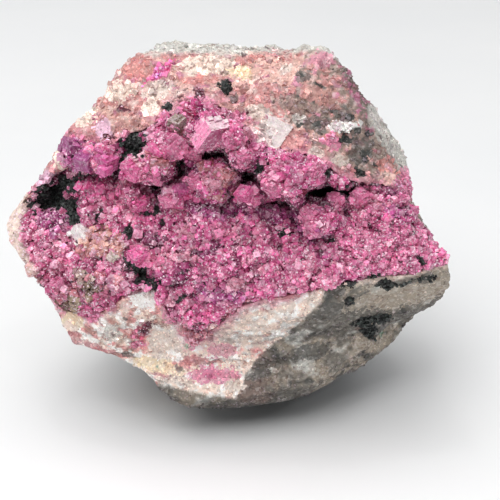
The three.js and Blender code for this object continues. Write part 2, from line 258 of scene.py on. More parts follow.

# Marks of the druse, in the same way. Some are painted shadow and shade in its gaps and hollows and under its
# ledges.
DRUSE_MARKS = [
    ("pink", (390, 250, 56, 22, 5), (310, 282, 34, 8, 5)),
    ("purple",
     (286, 214, 26, 12, 0), (312, 236, 14, 9, 0), (397, 212, 13, 7, 0), (222, 212, 30, 8, 0),
     (57, 222, 22, 11, 0), (76, 155, 17, 14, 0), (221, 293, 22, 7, 0)),
    ("peach_brown", (103, 242, 24, 13, -10)),
    ("salmon", (84, 252, 9, 5, 0)),
    ("brown_pink", (88, 286, 24, 13, 10)),
    ("olive", (92, 287, 15, 11, 10), (69, 302, 12, 9, 20)),
    ("dusty_pink", (100, 281, 6, 5, 0)),
    ("pink", (82, 292, 5, 4, 0)),
    ("beige", (84, 275, 9, 6, 0)),
    ("cream", (84, 281, 6, 5, 0), (95, 277, 5, 3, 0)),
    ("bright_pink", (95, 187, 24, 10, -8), (205, 312, 22, 8, 0)),
    ("dusty_pink", (240, 284, 10, 5, 10), (190, 256, 16, 8, 0)),
    ("maroon", (107, 257, 6, 4, 0)),
    ("black", (50, 197, 22, 15, 35), (70, 183, 17, 9, 25), (64, 203, 15, 14, 0), (74, 216, 7, 13, 0)),
    ("black_green", (134, 144, 15, 10, 15)),
    # The second of these, at 117, 170, is painted shadow in the hollow under the crystals above it.
    ("black", (136, 156, 18, 6, 0), (117, 170, 11, 5, 15)),
    ("black_green", (79, 150, 5, 6, 0)),
    # Painted shadow under the purple crystals on the left.
    ("black", (88, 172, 7, 3, 10)),
    ("black_green", (130, 233, 7, 6, 30)),
    ("black", (70, 243, 5, 5, 0)),
    ("black_green", (100, 214, 8, 3, 0), (145, 214, 5, 4, 0)),
    ("black", (157, 210, 4, 6, -30), (164, 220, 4, 3, 0), (133, 264, 8, 4, -35), (140, 271, 7, 8, 20)),
    ("black_green", (152, 283, 12, 4, -8)),
    ("black", (144, 281, 8, 6, 0), (162, 283, 7, 3, 0)),
    # The one at 181, 164 is painted shadow.
    ("black_green",
     (180, 299, 6, 3, 30), (110, 291, 4, 4, 0), (183, 178, 4, 5, 0), (181, 164, 8, 7, 0),
     (260, 168, 6, 7, 0), (284, 234, 5, 4, 0), (330, 243, 4, 3, 0), (325, 174, 6, 3, 0),
     (352, 187, 6, 3, 0), (376, 273, 9, 3, 0), (421, 260, 3, 5, -30)),
    # Painted shade and shadow from here on: plum and wine in gaps and hollows, black under the right ledge.
    ("plum",
     (240, 171, 18, 10, 0), (190, 168, 14, 9, 0), (238, 197, 9, 14, -20), (298, 204, 38, 6, 3),
     (116, 173, 19, 8, 5), (160, 190, 11, 8, 0), (212, 206, 30, 6, 0), (152, 240, 14, 5, -20),
     (205, 252, 26, 4, 10)),
    ("wine", (213, 153, 14, 5, 12)),
    ("black", (322, 190, 20, 6, 4), (346, 195, 5, 4, 0)),
    ("plum",
     (296, 224, 4, 11, 10), (322, 240, 14, 3, 0), (346, 212, 4, 8, 0), (390, 193, 4, 7, 0),
     (402, 208, 6, 5, 0)),
    ("wine", (281, 201, 16, 3, 0), (232, 192, 4, 10, -25), (154, 186, 5, 4, 0), (238, 172, 8, 6, 0)),
]

# Swells and hollows of the druse: centre x, centre y, half width, half height, turn, height in mm.
DRUSE_LUMPS = [
    (94, 187, 25, 12, -8, 1.7),
    (134, 190, 18, 11, 0, 1.0),
    (100, 207, 26, 7, 0, 0.8),
    (212, 181, 27, 20, -10, 3.2),
    (207, 136, 20, 17, 0, 1.0),
    (237, 137, 15, 12, 0, 2.0),
    (240, 159, 12, 9, 0, 1.8),
    (149, 169, 24, 13, 8, 2.2),
    (167, 148, 15, 12, 0, 1.8),
    (174, 199, 14, 14, 0, 2.5),
    (248, 195, 12, 10, 0, 2.6),
    (139, 203, 12, 6, 0, 1.4),
    (294, 178, 34, 17, 6, 3.0),
    (341, 177, 12, 10, 0, 1.8),
    (319, 218, 21, 16, 0, 3.4),
    (310, 212, 8, 7, 0, 1.5),
    (331, 207, 7, 6, 0, 1.5),
    (334, 221, 8, 7, 0, 1.5),
    (318, 229, 8, 6, 0, 1.4),
    (296, 223, 5, 12, 10, -2.5),
    (322, 239, 16, 4, 0, -1.8),
    (346, 212, 5, 9, 0, -2.0),
    (390, 193, 4, 7, 0, -1.6),
    (402, 208, 5, 5, 0, -1.6),
    (333, 203, 11, 8, 0, 1.8),
    (360, 197, 9, 8, 0, 1.6),
    (384, 190, 14, 8, 0, 0.9),
    (404, 200, 14, 10, -40, 1.0),
    (190, 234, 12, 8, 0, 1.3),
    (216, 230, 10, 8, 0, 0.9),
    (137, 256, 12, 8, 0, 1.5),
    (57, 284, 10, 7, 0, 1.0),
    (236, 285, 11, 7, 0, 0.8),
    (335, 272, 10, 8, 0, 1.0),
    (432, 254, 9, 9, 0, 0.6),
    (262, 252, 12, 10, 0, 0.7),
    (295, 262, 14, 10, 0, 0.7),
    (372, 213, 12, 9, 0, 0.8),
    (54, 200, 22, 14, 35, -3.5),
    (131, 152, 16, 9, 10, -3),
    (115, 169, 13, 7, 10, -5.5),
    (181, 165, 10, 9, 0, -5),
    (213, 154, 15, 7, 12, -6.5),
    (155, 186, 7, 5, 0, -4),
    (233, 190, 5, 13, -20, -4),
    (250, 174, 12, 9, 0, -3),
    (322, 191, 21, 9, 4, -8.5),
    (280, 203, 18, 5, 0, -4.5),
    (347, 192, 8, 6, 0, -2.5),
    (146, 275, 15, 9, 0, -2),
    (108, 257, 6, 5, 0, -2.4),
    (70, 243, 5, 6, 0, -1.0),
    (300, 238, 12, 6, 0, -0.8),
]

# Larger rhombs: centre x, centre y, edge in mm, colour, then tilt, roll and spin in degrees.
LARGE_CRYSTALS = [
    (192, 114, 2.6, "deep_pink", (20, 10, 50)),
    (197, 106, 2.2, "magenta", (0, 24, 20)),
    (191, 123, 2.0, "deep_pink", (30, -10, 70)),
    (178, 123, 2.6, "brown_grey", (26, -16, 52)),
    (184, 129, 2.2, "brown_pink", (10, 20, 24)),
    (173, 149, 3.6, "pink", (6, -28, 40)),
    (167, 140, 2.6, "pink", (30, 12, 16)),
    (133, 171, 3.2, "bright_pink", (12, 14, 66)),
    (143, 163, 2.6, "dusty_pink", (34, -8, 34)),
    (156, 162, 3.2, "brown_pink", (20, 10, 20)),
    (155, 174, 2.8, "pink", (-8, 26, 50)),
    (168, 160, 2.6, "brown_pink", (30, -20, 70)),
    (255, 199, 1.9, "pink", (34, 12, 52)),
    (168, 199, 2.6, "pink", (6, -20, 66)),
    (176, 207, 2.4, "dusty_pink", (24, 24, 26)),
    (198, 180, 3.2, "pink", (16, -24, 52)),
    (212, 185, 3.0, "dusty_pink", (28, 8, 36)),
    (224, 176, 3.2, "rose_brown", (14, 22, 60)),
    (209, 170, 3.0, "brown_pink", (34, -12, 20)),
    (230, 185, 2.6, "rose_brown", (6, 30, 40)),
    (218, 193, 2.6, "brown_pink", (-6, 12, 70)),
    (204, 191, 2.2, "dusty_pink", (20, -30, 34)),
    (272, 184, 2.9, "pink", (30, -16, 52)),
    (291, 163, 3.0, "bright_pink", (34, 30, 44)),
    (281, 168, 2.6, "pink", (20, 10, 66)),
    (292, 180, 3.0, "pink", (8, 24, 20)),
    (304, 171, 2.6, "bright_pink", (26, -20, 54)),
    (314, 172, 2.2, "pink", (34, -22, 60)),
    (300, 187, 2.4, "deep_pink", (-4, 26, 70)),
    (341, 178, 2.6, "dusty_pink", (20, -12, 48)),
    (311, 214, 3.0, "pink", (14, 18, 40)),
    (333, 203, 2.8, "pink", (28, -14, 60)),
    (331, 218, 2.6, "bright_pink", (10, 26, 26)),
    (315, 229, 2.8, "pink", (-4, -20, 50)),
    (322, 208, 2.2, "dusty_pink", (30, 8, 12)),
    (360, 197, 2.8, "pink", (18, 22, 46)),
    (139, 203, 2.6, "bright_pink", (32, -10, 36)),
    (190, 233, 2.6, "dusty_pink", (20, 16, 62)),
    (216, 229, 2.2, "pink", (10, -18, 30)),
    (137, 256, 2.6, "bright_pink", (24, 12, 44)),
    (335, 271, 2.2, "bright_pink", (16, 28, 58)),
    (194, 155, 2.4, "pink", (26, -20, 24)),
    (241, 160, 2.6, "pink", (14, 16, 48)),
    (258, 150, 2.4, "pink", (30, -8, 66)),
    (231, 140, 2.6, "pink", (8, 22, 36)),
    (243, 134, 2.4, "dusty_pink", (24, -16, 52)),
    (235, 127, 2.2, "pink", (36, 8, 18)),
    (57, 284, 2.2, "pink", (12, -24, 42)),
    (236, 284, 2.2, "dusty_pink", (22, 20, 60)),
    (402, 200, 2.2, "pink", (16, 10, 30)),
    (412, 211, 2.0, "bright_pink", (26, -18, 56)),
    (115, 257, 2.0, "grey_cream", (14, 20, 40)),
]
# These stay clear, with few smaller ones on their faces.
CLEAR_CRYSTALS = [
    (105, 162, 4.2, "orchid", (22, 8, 52)),
    (87, 161, 3.2, "purple", (20, -8, 62)),
    (71, 148, 3.2, "purple", (8, 20, 30)),
    (157, 151, 2.8, "bright_pink", (24, 30, 60)),
    (244, 194, 3.0, "bright_pink", (30, -14, 60)),
    (179, 193, 3.0, "orchid", (26, 16, 40)),
]
# White ones on the band, a single one on the left and a pale block flush with the rock.
WHITE_CRYSTALS = [
    (338, 127, 1.9, "white", (70, 10, 30)),
    (348, 127, 1.8, "white", (62, -14, 50)),
]
CLEAR_WHITE = [(84, 235, 3.6, "white", (30, 24, 34))]
FLUSH_CRYSTAL = [(271, 132, 6.0, "lilac_grey", (0, 0, 60))]
# How many smaller rhombs step off a larger one, and how many crust its faces.
CRUSTED = (4, 70)
CRUMBS_ONLY = (0, 70)
CLEAR = (2, 6)
FEW_CRUMBS = (0, 6)
PLAIN = (0, 0)
# The largest rhomb: its near corner in pixels, how far that is lifted off the druse, its three edges
# from there in pixels (right, up and away), a pixel's size there and the crumbs on its near faces.
MAIN_CORNER = (212, 133)
MAIN_RISE = 3.6
MAIN_EDGES = np.array([[14, 4, 10], [-6, 11, 12], [-12.5, -17, 1]])
PIXEL = 0.215
MAIN_CRUMBS = 40
# The largest rhomb and its neighbours grown parallel to it: colour, places along its edges and share
# of its size.
# The pale ones on its top rim are painted highlight, the deep pink ones on its right painted shade.
MAIN_STEPS = [
    ("bright_pink", 0, 0, 0, 1),
    ("druse_pale", 0.45, 0.62, -0.12, 0.36),
    ("druse_pale", 0.85, 0.3, -0.1, 0.3),
    ("pink", 0.1, 0.8, -0.08, 0.3),
    ("druse_pale", 1.05, 0.05, -0.05, 0.26),
    ("deep_pink", 0.8, 0.3, 0.3, 0.55),
    ("deep_pink", 0.5, 0.4, 0.75, 0.42),
    ("magenta", 1.15, 0.35, 0.2, 0.35),
    ("bright_pink", 0.1, 1.0, 0.2, 0.5),
]
# Painted light and shade on their left, right, under, over, near and far faces: shade, then how pale.
PAINTED_FACE_SHADES = np.array([1.1, 0.8, 0.55, 1.0, 1.0, 1.0])
PAINTED_FACE_HIGHLIGHTS = np.array([0.16, 0.0, 0.03, 0.3, 0.6, 0.2])

# A cube's corners and faces. Pressed to this share along a body diagonal, it is calcite's rhomb.
RHOMB = np.array([[x, y, z] for x in (-1, 1) for y in (-1, 1) for z in (-1, 1)]) / 2
RHOMB_FACES = np.array([[0, 1, 3, 2], [4, 6, 7, 5], [0, 4, 5, 1], [2, 3, 7, 6], [0, 2, 6, 4], [1, 5, 7, 3]])
SQUASH = 0.84

# The druse: its pieces, the crystals in a bundle and the colours that bundles take by chance.
DRUSE_PIECES = 4
BUNDLE = 9
BUNDLE_COLOURS = ["druse"] * 6 + ["druse_pale", "druse_deep", "druse_purple", "dusty_pink", "pink"]
# Where its crystals get coarser, and where they get fine and even.
COARSE_COLUMNS = (180, 60)
FINE_COLUMNS = (260, 330)
FINE_ROWS = (195, 225)
# Directions in which a point may lie open, and how far off something may close it in.
OUTLOOKS = np.array([
    [0, -1, 0.5],
    [0.6, -0.6, 0.7],
    [-0.6, -0.6, 0.7],
    [0, -0.3, 1],
    [0.8, -0.8, 0],
    [-0.8, -0.8, 0],
    [0, -1, -0.3],
    [0.3, -0.9, 0.9],
    [-0.4, -0.1, 1],
])
REACH = 7.0
# How many tiny pale crystals, painted glints, there are, and how many black ones stand at each black place.
PAINTED_GLINT_COUNT = 5000
DARK_COPIES = 3
# Where the rock's grey face starts, which has fewer grains.
GREY_COLUMNS = (240, 300)
GREY_ROWS = (270, 300)

# The floor's radius, where the lamps are aimed at, and the lamps: name, place, size and power. These
# are in metres and watts.
FLOOR_RADIUS = 1.6
LIGHTS_AIM = (0, 0, 0.04)
LIGHTS = [
    ("window", (-0.3, 0.1, 1.3), 1.0, 6),
    ("overhead", (0, -0.2, 1.7), 2.6, 21),
    ("front_fill", (-0.4, -0.75, 1.15), 0.7, 6),
    ("left", (-1.1, -0.3, 0.9), 0.7, 1.5),
    ("glint_1", (-0.6, -0.9, 0.9), 0.07, 0.6),
    ("glint_2", (0.2, -0.7, 1.1), 0.07, 0.6),
    ("glint_3", (-0.2, 0.1, 1.3), 0.07, 0.6),
    ("glint_4", (0.8, -0.6, 0.9), 0.07, 0.6),
]

random = np.random.default_rng(11)


def smoothstep(low, high, value):
    """0 up to low, 1 beyond high; low may be the greater."""
    t = np.clip((value - low) / (high - low), 0, 1)
    return t * t * (3 - 2 * t)


def linear(name):
    """A palette colour as linear light."""
    c = np.array(PALETTE[name]) / 255
    return np.where(c < 0.04045, c / 12.92, ((c + 0.055) / 1.055) ** 2.4)


def unit(vectors):
    """The vectors with length 1."""
    return vectors / np.maximum(np.linalg.norm(vectors, axis=-1, keepdims=True), 1e-9)


def to_pixels(points):
    """Where the photograph's camera sees points, and how near they are to it."""
    out = points[:, :3] - TARGET
    near = out @ BACK
    scale = LENS / SENSOR * PIXELS / (DISTANCE - near)
    return PIXELS / 2 + scale * out[:, 0], PIXELS / 2 - scale * (out @ UP), near


def to_eye(points):
    """Directions from points to the photograph's camera: a move along them stays at its pixel."""
    return unit(EYE - points[:, :3])


def facing_eye(points, normals):
    """1 where a surface faces the photograph's camera, 0 where it is edge on and less beyond."""
    return (normals * to_eye(points)).sum(axis=1)


def field(points, size, seed=0, octaves=1):
    """Smooth noise of about -1 to 1 whose swells are size mm across."""
    at = (points[:, :3] / size + 31.7 * seed).tolist()
    if octaves == 1:
        return np.array([noise.noise(p) for p in at])
    return np.array([noise.fractal(p, 0.9, 2.0, octaves) for p in at])


def cells(points, size, seed=0):
    """Distance to the nearest of scattered points, in cells of about size mm."""
    at = (points[:, :3] / size + 17.3 * seed).tolist()
    return np.array([noise.voronoi(p)[0][0] for p in at])


def rare(places, limit):
    """True for the few places whose number, which chance draws from 0 to 1, passes the limit."""
    return random.random((len(places), 1)) > limit


def node_arrays(name):
    """Vertices, each once, and triangles of a CAD node."""
    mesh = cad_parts[name].data
    points = np.empty(3 * len(mesh.vertices))
    mesh.vertices.foreach_get("co", points)
    points = points.reshape(-1, 3) / MM
    mesh.calc_loop_triangles()
    faces = np.empty(3 * len(mesh.loop_triangles), int)
    mesh.loop_triangles.foreach_get("vertices", faces)
    _, first, which = np.unique(points.round(3), axis=0, return_index=True, return_inverse=True)
    faces = which.ravel()[faces].reshape(-1, 3)
    whole = (faces[:, 0] != faces[:, 1]) & (faces[:, 1] != faces[:, 2]) & (faces[:, 2] != faces[:, 0])
    return points[first], faces[whole]


def surface(points, faces):
    """A mesh that rays can be cast at and distances taken to."""
    return BVHTree.FromPolygons(points[:, :3].tolist(), faces.tolist())


def tree_of(points, picks):
    """The picked points in a tree that finds the nearest of them."""
    tree = KDTree(len(picks))
    for pick in picks:
        tree.insert(points[pick, :3], pick)
    tree.balance()
    return tree


def nearest(tree, points):
    """The number of each point's nearest one in the tree."""
    return np.array([tree.find(p)[1] for p in points[:, :3].tolist()])


def distances(tree, points):
    """How far each point is from its nearest one in the tree."""
    return np.array([tree.find(p)[2] for p in points[:, :3].tolist()])


def face_normals(points, faces):
    """Normals of triangles, twice as long as their areas."""
    a, b, c = (points[faces[:, i], :3] for i in range(3))
    return np.cross(b - a, c - a)


def vertex_normals(points, faces):
    """Normals of vertices, in which larger triangles count for more."""
    sums = np.zeros((len(points), 3))
    flat = face_normals(points, faces)
    for corner in range(3):
        for axis in range(3):
            sums[:, axis] += np.bincount(faces[:, corner], flat[:, axis], len(points))
    return unit(sums)


def refined(points, faces, limit, passes=7):
    """Halves edges longer than limit(middle) until none is; neighbours share every cut."""
    for _ in range(passes):
        ends = np.sort(faces[:, [0, 1, 1, 2, 2, 0]].reshape(-1, 2), axis=1)
        keys, which = np.unique(ends[:, 0] * len(points) + ends[:, 1], return_inverse=True)
        ends = np.stack([keys // len(points), keys % len(points)], axis=1)
        middle = points[ends].mean(axis=1)
        length = np.linalg.norm(points[ends[:, 0], :3] - points[ends[:, 1], :3], axis=1)
        split = length > limit(middle)
        if not split.any():
            break
        number = np.where(split, len(points) + np.cumsum(split) - 1, -1)
        points = np.vstack([points, middle[split]])
        cut = number[which.ravel()].reshape(-1, 3)
        count = (cut >= 0).sum(axis=1)
        # Turn each triangle so that its cut edges come first.
        turn = np.zeros(len(faces), int)
        turn[count == 1] = (cut[count == 1] >= 0).argmax(axis=1)
        turn[count == 2] = (cut[count == 2] < 0).argmax(axis=1) + 1
        order = (np.arange(3) + turn[:, None]) % 3
        a, b, c = np.take_along_axis(faces, order, axis=1).T
        ab, bc, ca = np.take_along_axis(cut, order, axis=1).T
        one, two, three = count == 1, count == 2, count == 3
        pieces = [
            faces[count == 0],
            np.stack([a, ab, c], 1)[one],
            np.stack([ab, b, c], 1)[one],
            np.stack([ab, b, bc], 1)[two],
            np.stack([a, ab, bc], 1)[two],
            np.stack([a, bc, c], 1)[two],
            np.stack([a, ab, ca], 1)[three],
            np.stack([ab, b, bc], 1)[three],
            np.stack([ca, bc, c], 1)[three],
            np.stack([ab, bc, ca], 1)[three],
        ]
        faces = np.vstack(pieces)
    return points, faces


def smoothed(points, faces):
    """Every vertex drawn towards the mean of its neighbours, which rounds the facets' edges."""
    ends = faces[:, [0, 1, 1, 2, 2, 0]].reshape(-1, 2)
    share = np.bincount(ends[:, 0], minlength=len(points)) + np.bincount(ends[:, 1], minlength=len(points))
    points = points.copy()
    for _ in range(SMOOTHING):
        mean = np.empty((len(points), 3))
        for axis in range(3):
            mean[:, axis] = np.bincount(ends[:, 0], points[ends[:, 1], axis], len(points))
            mean[:, axis] += np.bincount(ends[:, 1], points[ends[:, 0], axis], len(points))
        points[:, :3] += TOWARDS_MEAN * (mean / share[:, None] - points[:, :3])
    return points


def make_piece(name, points, faces, tint, material, node_slot, smooth=False, marks=None):
    """A mesh piece from points in mm, triangles or quads, and colours for each point."""
    mesh = bpy.data.meshes.new(name)
    mesh.vertices.add(len(points))
    mesh.vertices.foreach_set("co", (points[:, :3] * MM).ravel())
    mesh.loops.add(faces.size)
    mesh.loops.foreach_set("vertex_index", faces.ravel())
    mesh.polygons.add(len(faces))
    mesh.polygons.foreach_set("loop_start", np.arange(0, faces.size, faces.shape[1]))
    mesh.update(calc_edges=True)
    mesh.validate()
    if smooth:
        mesh.shade_smooth()
    else:
        mesh.shade_flat()
    layers = {"tint": np.column_stack([tint, np.ones(len(tint))])}
    if marks is not None:
        layers["mark"] = np.column_stack(marks)
    for layer, values in layers.items():
        colours = mesh.color_attributes.new(layer, "FLOAT_COLOR", "POINT")
        colours.data.foreach_set("color", values.ravel())
    mesh.materials.append(material)
    piece = bpy.data.objects.new(name, mesh)
    bpy.context.scene.collection.objects.link(piece)
    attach(piece, "root")
    return piece


# Colours


def in_ellipse(px, py, x, y, wide, high, turn):
    """How far out pixels are in an ellipse: 0 at its centre, 1 on its rim and more beyond."""
    cos, sin = math.cos(math.radians(turn)), math.sin(math.radians(turn))
    along = ((px - x) * cos - (py - y) * sin) / wide
    across = ((px - x) * sin + (py - y) * cos) / high
    return np.hypot(along, across)


def marked(px, py, marks, tint):
    """The colour over each point's own where a mark covers it, and how deep in it the point is."""
    over = tint.copy()
    depth = np.zeros(len(px))
    for colour, place in ((colour, place) for colour, *places in marks for place in places):
        inside = np.clip(1.5 - in_ellipse(px, py, *place), 0, 1)
        new = inside > 0.9 * depth
        cover = 1 if colour in OPAQUE else PART_COVER
        over[new] = tint[new] * (1 - cover) + linear(colour) * cover
        depth[new] = inside[new]
    return over, depth


def ragged_pixels(points):
    """Pixels of points, strayed so that marks get ragged rims."""
    px, py, _ = to_pixels(points)
    px = px + 4 * field(points, 2.6, 1) + 2 * field(points, 0.9, 2)
    py = py + 4 * field(points, 2.6, 3) + 2 * field(points, 0.9, 4)
    return px, py


def specked(tint, over, depth):
    """One plain colour for each grain, taken from the mark where chance puts the grain in it."""
    inside = depth + random.uniform(-0.35, 0.35, len(depth)) > 0.5
    return np.where(inside[:, None], over, tint)


def blended(under, colour, weight):
    """A colour laid over others by each point's weight."""
    return under + (colour - under) * weight[:, None]


def clouded(base, *layers):
    """A base colour under others, each of which comes in where its noise goes from low to high."""
    tint = linear(base)
    for colour, low, high, swells in layers:
        tint = blended(tint, linear(colour), smoothstep(low, high, swells))
    return tint


def is_dark(tint):
    """True where a colour is nearly black."""
    return tint.max(axis=1) < 0.04


def crust_distance(points):
    """How far points are from the solid's own crust."""
    return np.array([plain_crust.find_nearest(p)[3] for p in points[:, :3].tolist()])


def rock_tint(points, normals):
    """Colours of the bare rock, then the marks over them with their depth."""
    px, py = ragged_pixels(points)
    facing = facing_eye(points, normals)
    front = smoothstep(-0.35, 0.1, facing + 0.2 * field(points, 4, 5))
    broad = field(points, 9, 6, 3)
    fine = field(points, 1.6, 7, 2)
    tint = clouded(
        "grey",
        ("beige", 0.0, 0.5, broad + 0.5 * fine),
        ("pale_grey", 0.25, 0.7, field(points, 6, 8, 3) + 0.4 * fine),
        ("dark_grey", 0.3, 0.7, field(points, 5, 9, 3) + 0.4 * fine),
        ("brown_grey", 0.3, 0.6, field(points, 12, 10, 3)),
    )
    tint = tint * (0.92 + 0.25 * field(points, 2.2, 27, 3))[:, None]

    # The salmon band over the druse, which shows a little round the edges.
    band = clouded(
        "salmon",
        ("peach", -0.1, 0.4, broad + 0.5 * fine),
        ("salmon_red", 0.15, 0.6, field(points, 3.4, 11, 3)),
        ("pale_pink", 0.1, 0.5, field(points, 2.6, 12, 3)),
        ("dusty_pink", 0.2, 0.5, field(points, 2.1, 13, 2)),
        ("brown_grey", 0.15, 0.5, (px - 300) / 120 + fine),
    )
    top_rim = np.interp(px, *BAND_TOP)
    tint = blended(tint, linear("pale_grey"), 0.8 * (1 - smoothstep(top_rim, top_rim + 4, py)))
    in_band = (1 - smoothstep(*BAND_END_ROWS, py)) * smoothstep(top_rim - 3, top_rim + 3, py) * front
    tint = blended(tint, 0.8 * band, in_band)
    strip = smoothstep(-2, 2, px - np.interp(py, *STRIP_LEFT)) * (py < STRIP_FOOT) * front
    strip_colour = np.where(field(points, 1.2, 17, 2)[:, None] > 0.1, linear("orchid"), linear("charcoal"))
    tint = blended(tint, strip_colour * 0.6 + linear("brown_grey") * 0.3, 0.8 * strip)
    beyond = smoothstep(-2, 2, px - np.interp(py, *BEYOND_LEFT)) * (py < BEYOND_FOOT)
    tint = blended(tint, linear("pale_grey"), 0.85 * beyond)

    # The cream face under the druse, left of the ridge.
    cream = clouded(
        "cream",
        ("grey_cream", 0.0, 0.5, field(points, 3.2, 14, 3)),
        ("salmon", 0.05, 0.5, field(points, 3.6, 15, 3) + (180 - px) / 200),
        ("brown_salmon", 0.1, 0.5, field(points, 2.4, 23, 3) + (140 - px) / 300),
        ("white", 0.0, 0.35, field(points, 1.7, 16, 2)),
    )
    edge_px, edge_py, _ = to_pixels(points)
    edge_px = edge_px + 3 * field(points, 2.4, 19, 3)
    left = smoothstep(-1, 1, np.interp(edge_py, *RIDGE) - edge_px)
    foot = np.interp(edge_px, *CREAM_FOOT)
    in_cream = left * smoothstep(-2, 2, foot - edge_py) * smoothstep(*CREAM_ROWS, py) * front
    tint = blended(tint, 1.05 * cream, in_cream)
    # Painted shade: darker under the cream face's foot, and right of the ridge low down.
    under = left * smoothstep(0, 3, edge_py - foot)
    shaded = 0.3 * (1 - left) * smoothstep(0, 60, SHADED_COLUMN - px) * (py > SHADED_ROW)
    tint = tint * (1 - 0.42 * under - shaded)[:, None]
    from_line = abs(py - np.interp(px, *THIN_LINE))
    on_line = (1 - smoothstep(1.5, 4, from_line)) * (px > THIN_LINE[0][0]) * front
    tint = blended(tint, linear("cream"), 0.8 * on_line)

    # Pink strays out of the druse, but for its sharp edge over the grey face.
    stray = field(points, 1.5, 18, 2)
    close = 1 - smoothstep(0.2, 3.2, crust_distance(points) + 1.4 * stray)
    sharp = smoothstep(*SHARP_COLUMNS, px) * smoothstep(*SHARP_ROWS, py)
    tint = blended(tint, linear("dusty_pink"), 0.8 * close * (1 - sharp))
    tint = blended(tint, linear("pink"), 0.75 * smoothstep(0.5, 1, close) * (stray > 0.05) * (1 - sharp))
    # Painted shade on the rock's undersides and its turned away sides, low down.
    painted_underside_shade = 0.55 * smoothstep(0.0, 0.8, -normals[:, 2]) * smoothstep(*UNDERSIDE_HEIGHTS, points[:, 2])
    painted_underside_shade += 0.35 * smoothstep(0.15, -0.2, facing) * smoothstep(*TURNED_HEIGHTS, points[:, 2])
    tint = tint * (1 + 0.16 * fine - painted_underside_shade)[:, None]
    over, depth = marked(px, py, ROCK_MARKS, tint)
    return tint, over, depth * front


def fading(points):
    """1 where the druse thins out over the cream face, 0 in its full part."""
    px, py, _ = to_pixels(points)
    return smoothstep(-5, 3, py - np.interp(px, *LOW_LINE) + 3 * field(points, 3, 24))


def bare_rim(points):
    """1 on the bare rock left of the druse, 0 on the druse."""
    px, py, _ = to_pixels(points)
    return 1 - smoothstep(-2, 2, px + 2 * field(points, 1.8, 26) - np.interp(py, *BARE_RIM_LINE))


def druse_tint(points):
    """Colours of the druse, without the chance of single crystals, and the marks over them."""
    px, py = ragged_pixels(points)
    broad = field(points, 6, 20, 3)
    tint = clouded("druse", ("druse_purple", 0.1, 0.6, broad))
    tint = blended(tint, linear("dusty_pink"), 0.8 * smoothstep(0.15, 0.6, field(points, 4, 21, 3)))
    tint = blended(tint, linear("rose_brown"), 0.3 * smoothstep(190, 90, px))
    bare = bare_rim(points)
    rim_tint = clouded("cream", ("salmon", -0.1, 0.3, broad))
    tint = blended(tint, rim_tint, bare)
    low = fading(points)
    tint = blended(tint, rim_tint * 0.9, low * smoothstep(-0.35, 0.15, field(points, 1.6, 25, 2) + low - 0.6))
    over, depth = marked(px, py, DRUSE_MARKS, tint)
    return tint, over, depth * (1 - bare)


# Rhombs


def squashed(corners):
    """A cube pressed along one body diagonal, which makes calcite's rhomb."""
    diagonal = np.ones(3) / math.sqrt(3)
    along = corners @ diagonal
    return corners - np.outer(along, diagonal) * (1 - SQUASH)


def turned(x, y, z):
    """Rotation matrices for turns about X, then Y, then Z, in radians."""
    x, y, z = np.broadcast_arrays(x, y, z)
    one, nil = np.ones(x.shape), np.zeros(x.shape)

    def matrix(*rows):
        return np.stack(rows, axis=-1).reshape(x.shape + (3, 3))

    about_x = matrix(one, nil, nil, nil, np.cos(x), -np.sin(x), nil, np.sin(x), np.cos(x))
    about_y = matrix(np.cos(y), nil, np.sin(y), nil, one, nil, -np.sin(y), nil, np.cos(y))
    about_z = matrix(np.cos(z), -np.sin(z), nil, np.sin(z), np.cos(z), nil, nil, nil, one)
    return about_z @ about_y @ about_x


def rhombs(centres, rotations, sizes, tints, ragged):
    """Many rhombs as one mesh: its points, quads and colours. ragged is how far their corners stray."""
    count = len(centres)
    corners = squashed(RHOMB)[None] * (1 + ragged * random.uniform(-1, 1, (count, 8, 3)))
    stretch = 1 + 0.18 * random.uniform(-1, 1, (count, 1, 3))
    corners = np.einsum("nij,nkj->nki", rotations, corners * stretch * sizes[:, None, None])
    points = (corners + centres[:, None]).reshape(-1, 3)
    faces = (RHOMB_FACES[None] + 8 * np.arange(count)[:, None, None]).reshape(-1, 4)
    return points, faces, np.repeat(tints, 8, axis=0)


def scattered(points, faces, spacing, keep=None):
    """Places over a surface with all their columns, and normals.

    spacing is their rough distance in mm, or a function for it, and keep a function for the share kept.
    """
    normals = face_normals(points, faces)
    areas = np.linalg.norm(normals, axis=1) / 2
    normals = unit(normals)
    middles = points[faces].mean(axis=1)
    apart = spacing(middles) if callable(spacing) else spacing
    share = 1 if keep is None else keep(middles, normals)
    counts = random.poisson(areas * share / (apart * apart))
    chosen = np.repeat(np.arange(len(faces)), counts)
    u, v = random.random((2, len(chosen), 1))
    over = u + v > 1
    u, v = np.where(over, 1 - u, u), np.where(over, 1 - v, v)
    a, b, c = (points[faces[chosen, i]] for i in range(3))
    return a + (b - a) * u + (c - a) * v, normals[chosen]


def leaning(normals, spread):
    """Rotations that take a rhomb's body diagonal near each normal."""
    count = len(normals)
    aim = unit(normals + spread * random.normal(size=(count, 3)))
    diagonal = np.ones(3) / math.sqrt(3)
    side = unit(np.cross(aim, random.normal(size=(count, 3))))
    other = np.cross(aim, side)
    base_side = unit(np.cross(diagonal, [0.0, 0.0, 1.0]))
    base = np.stack([base_side, np.cross(diagonal, base_side), diagonal])
    return np.stack([side, other, aim], axis=-1) @ base


# Materials


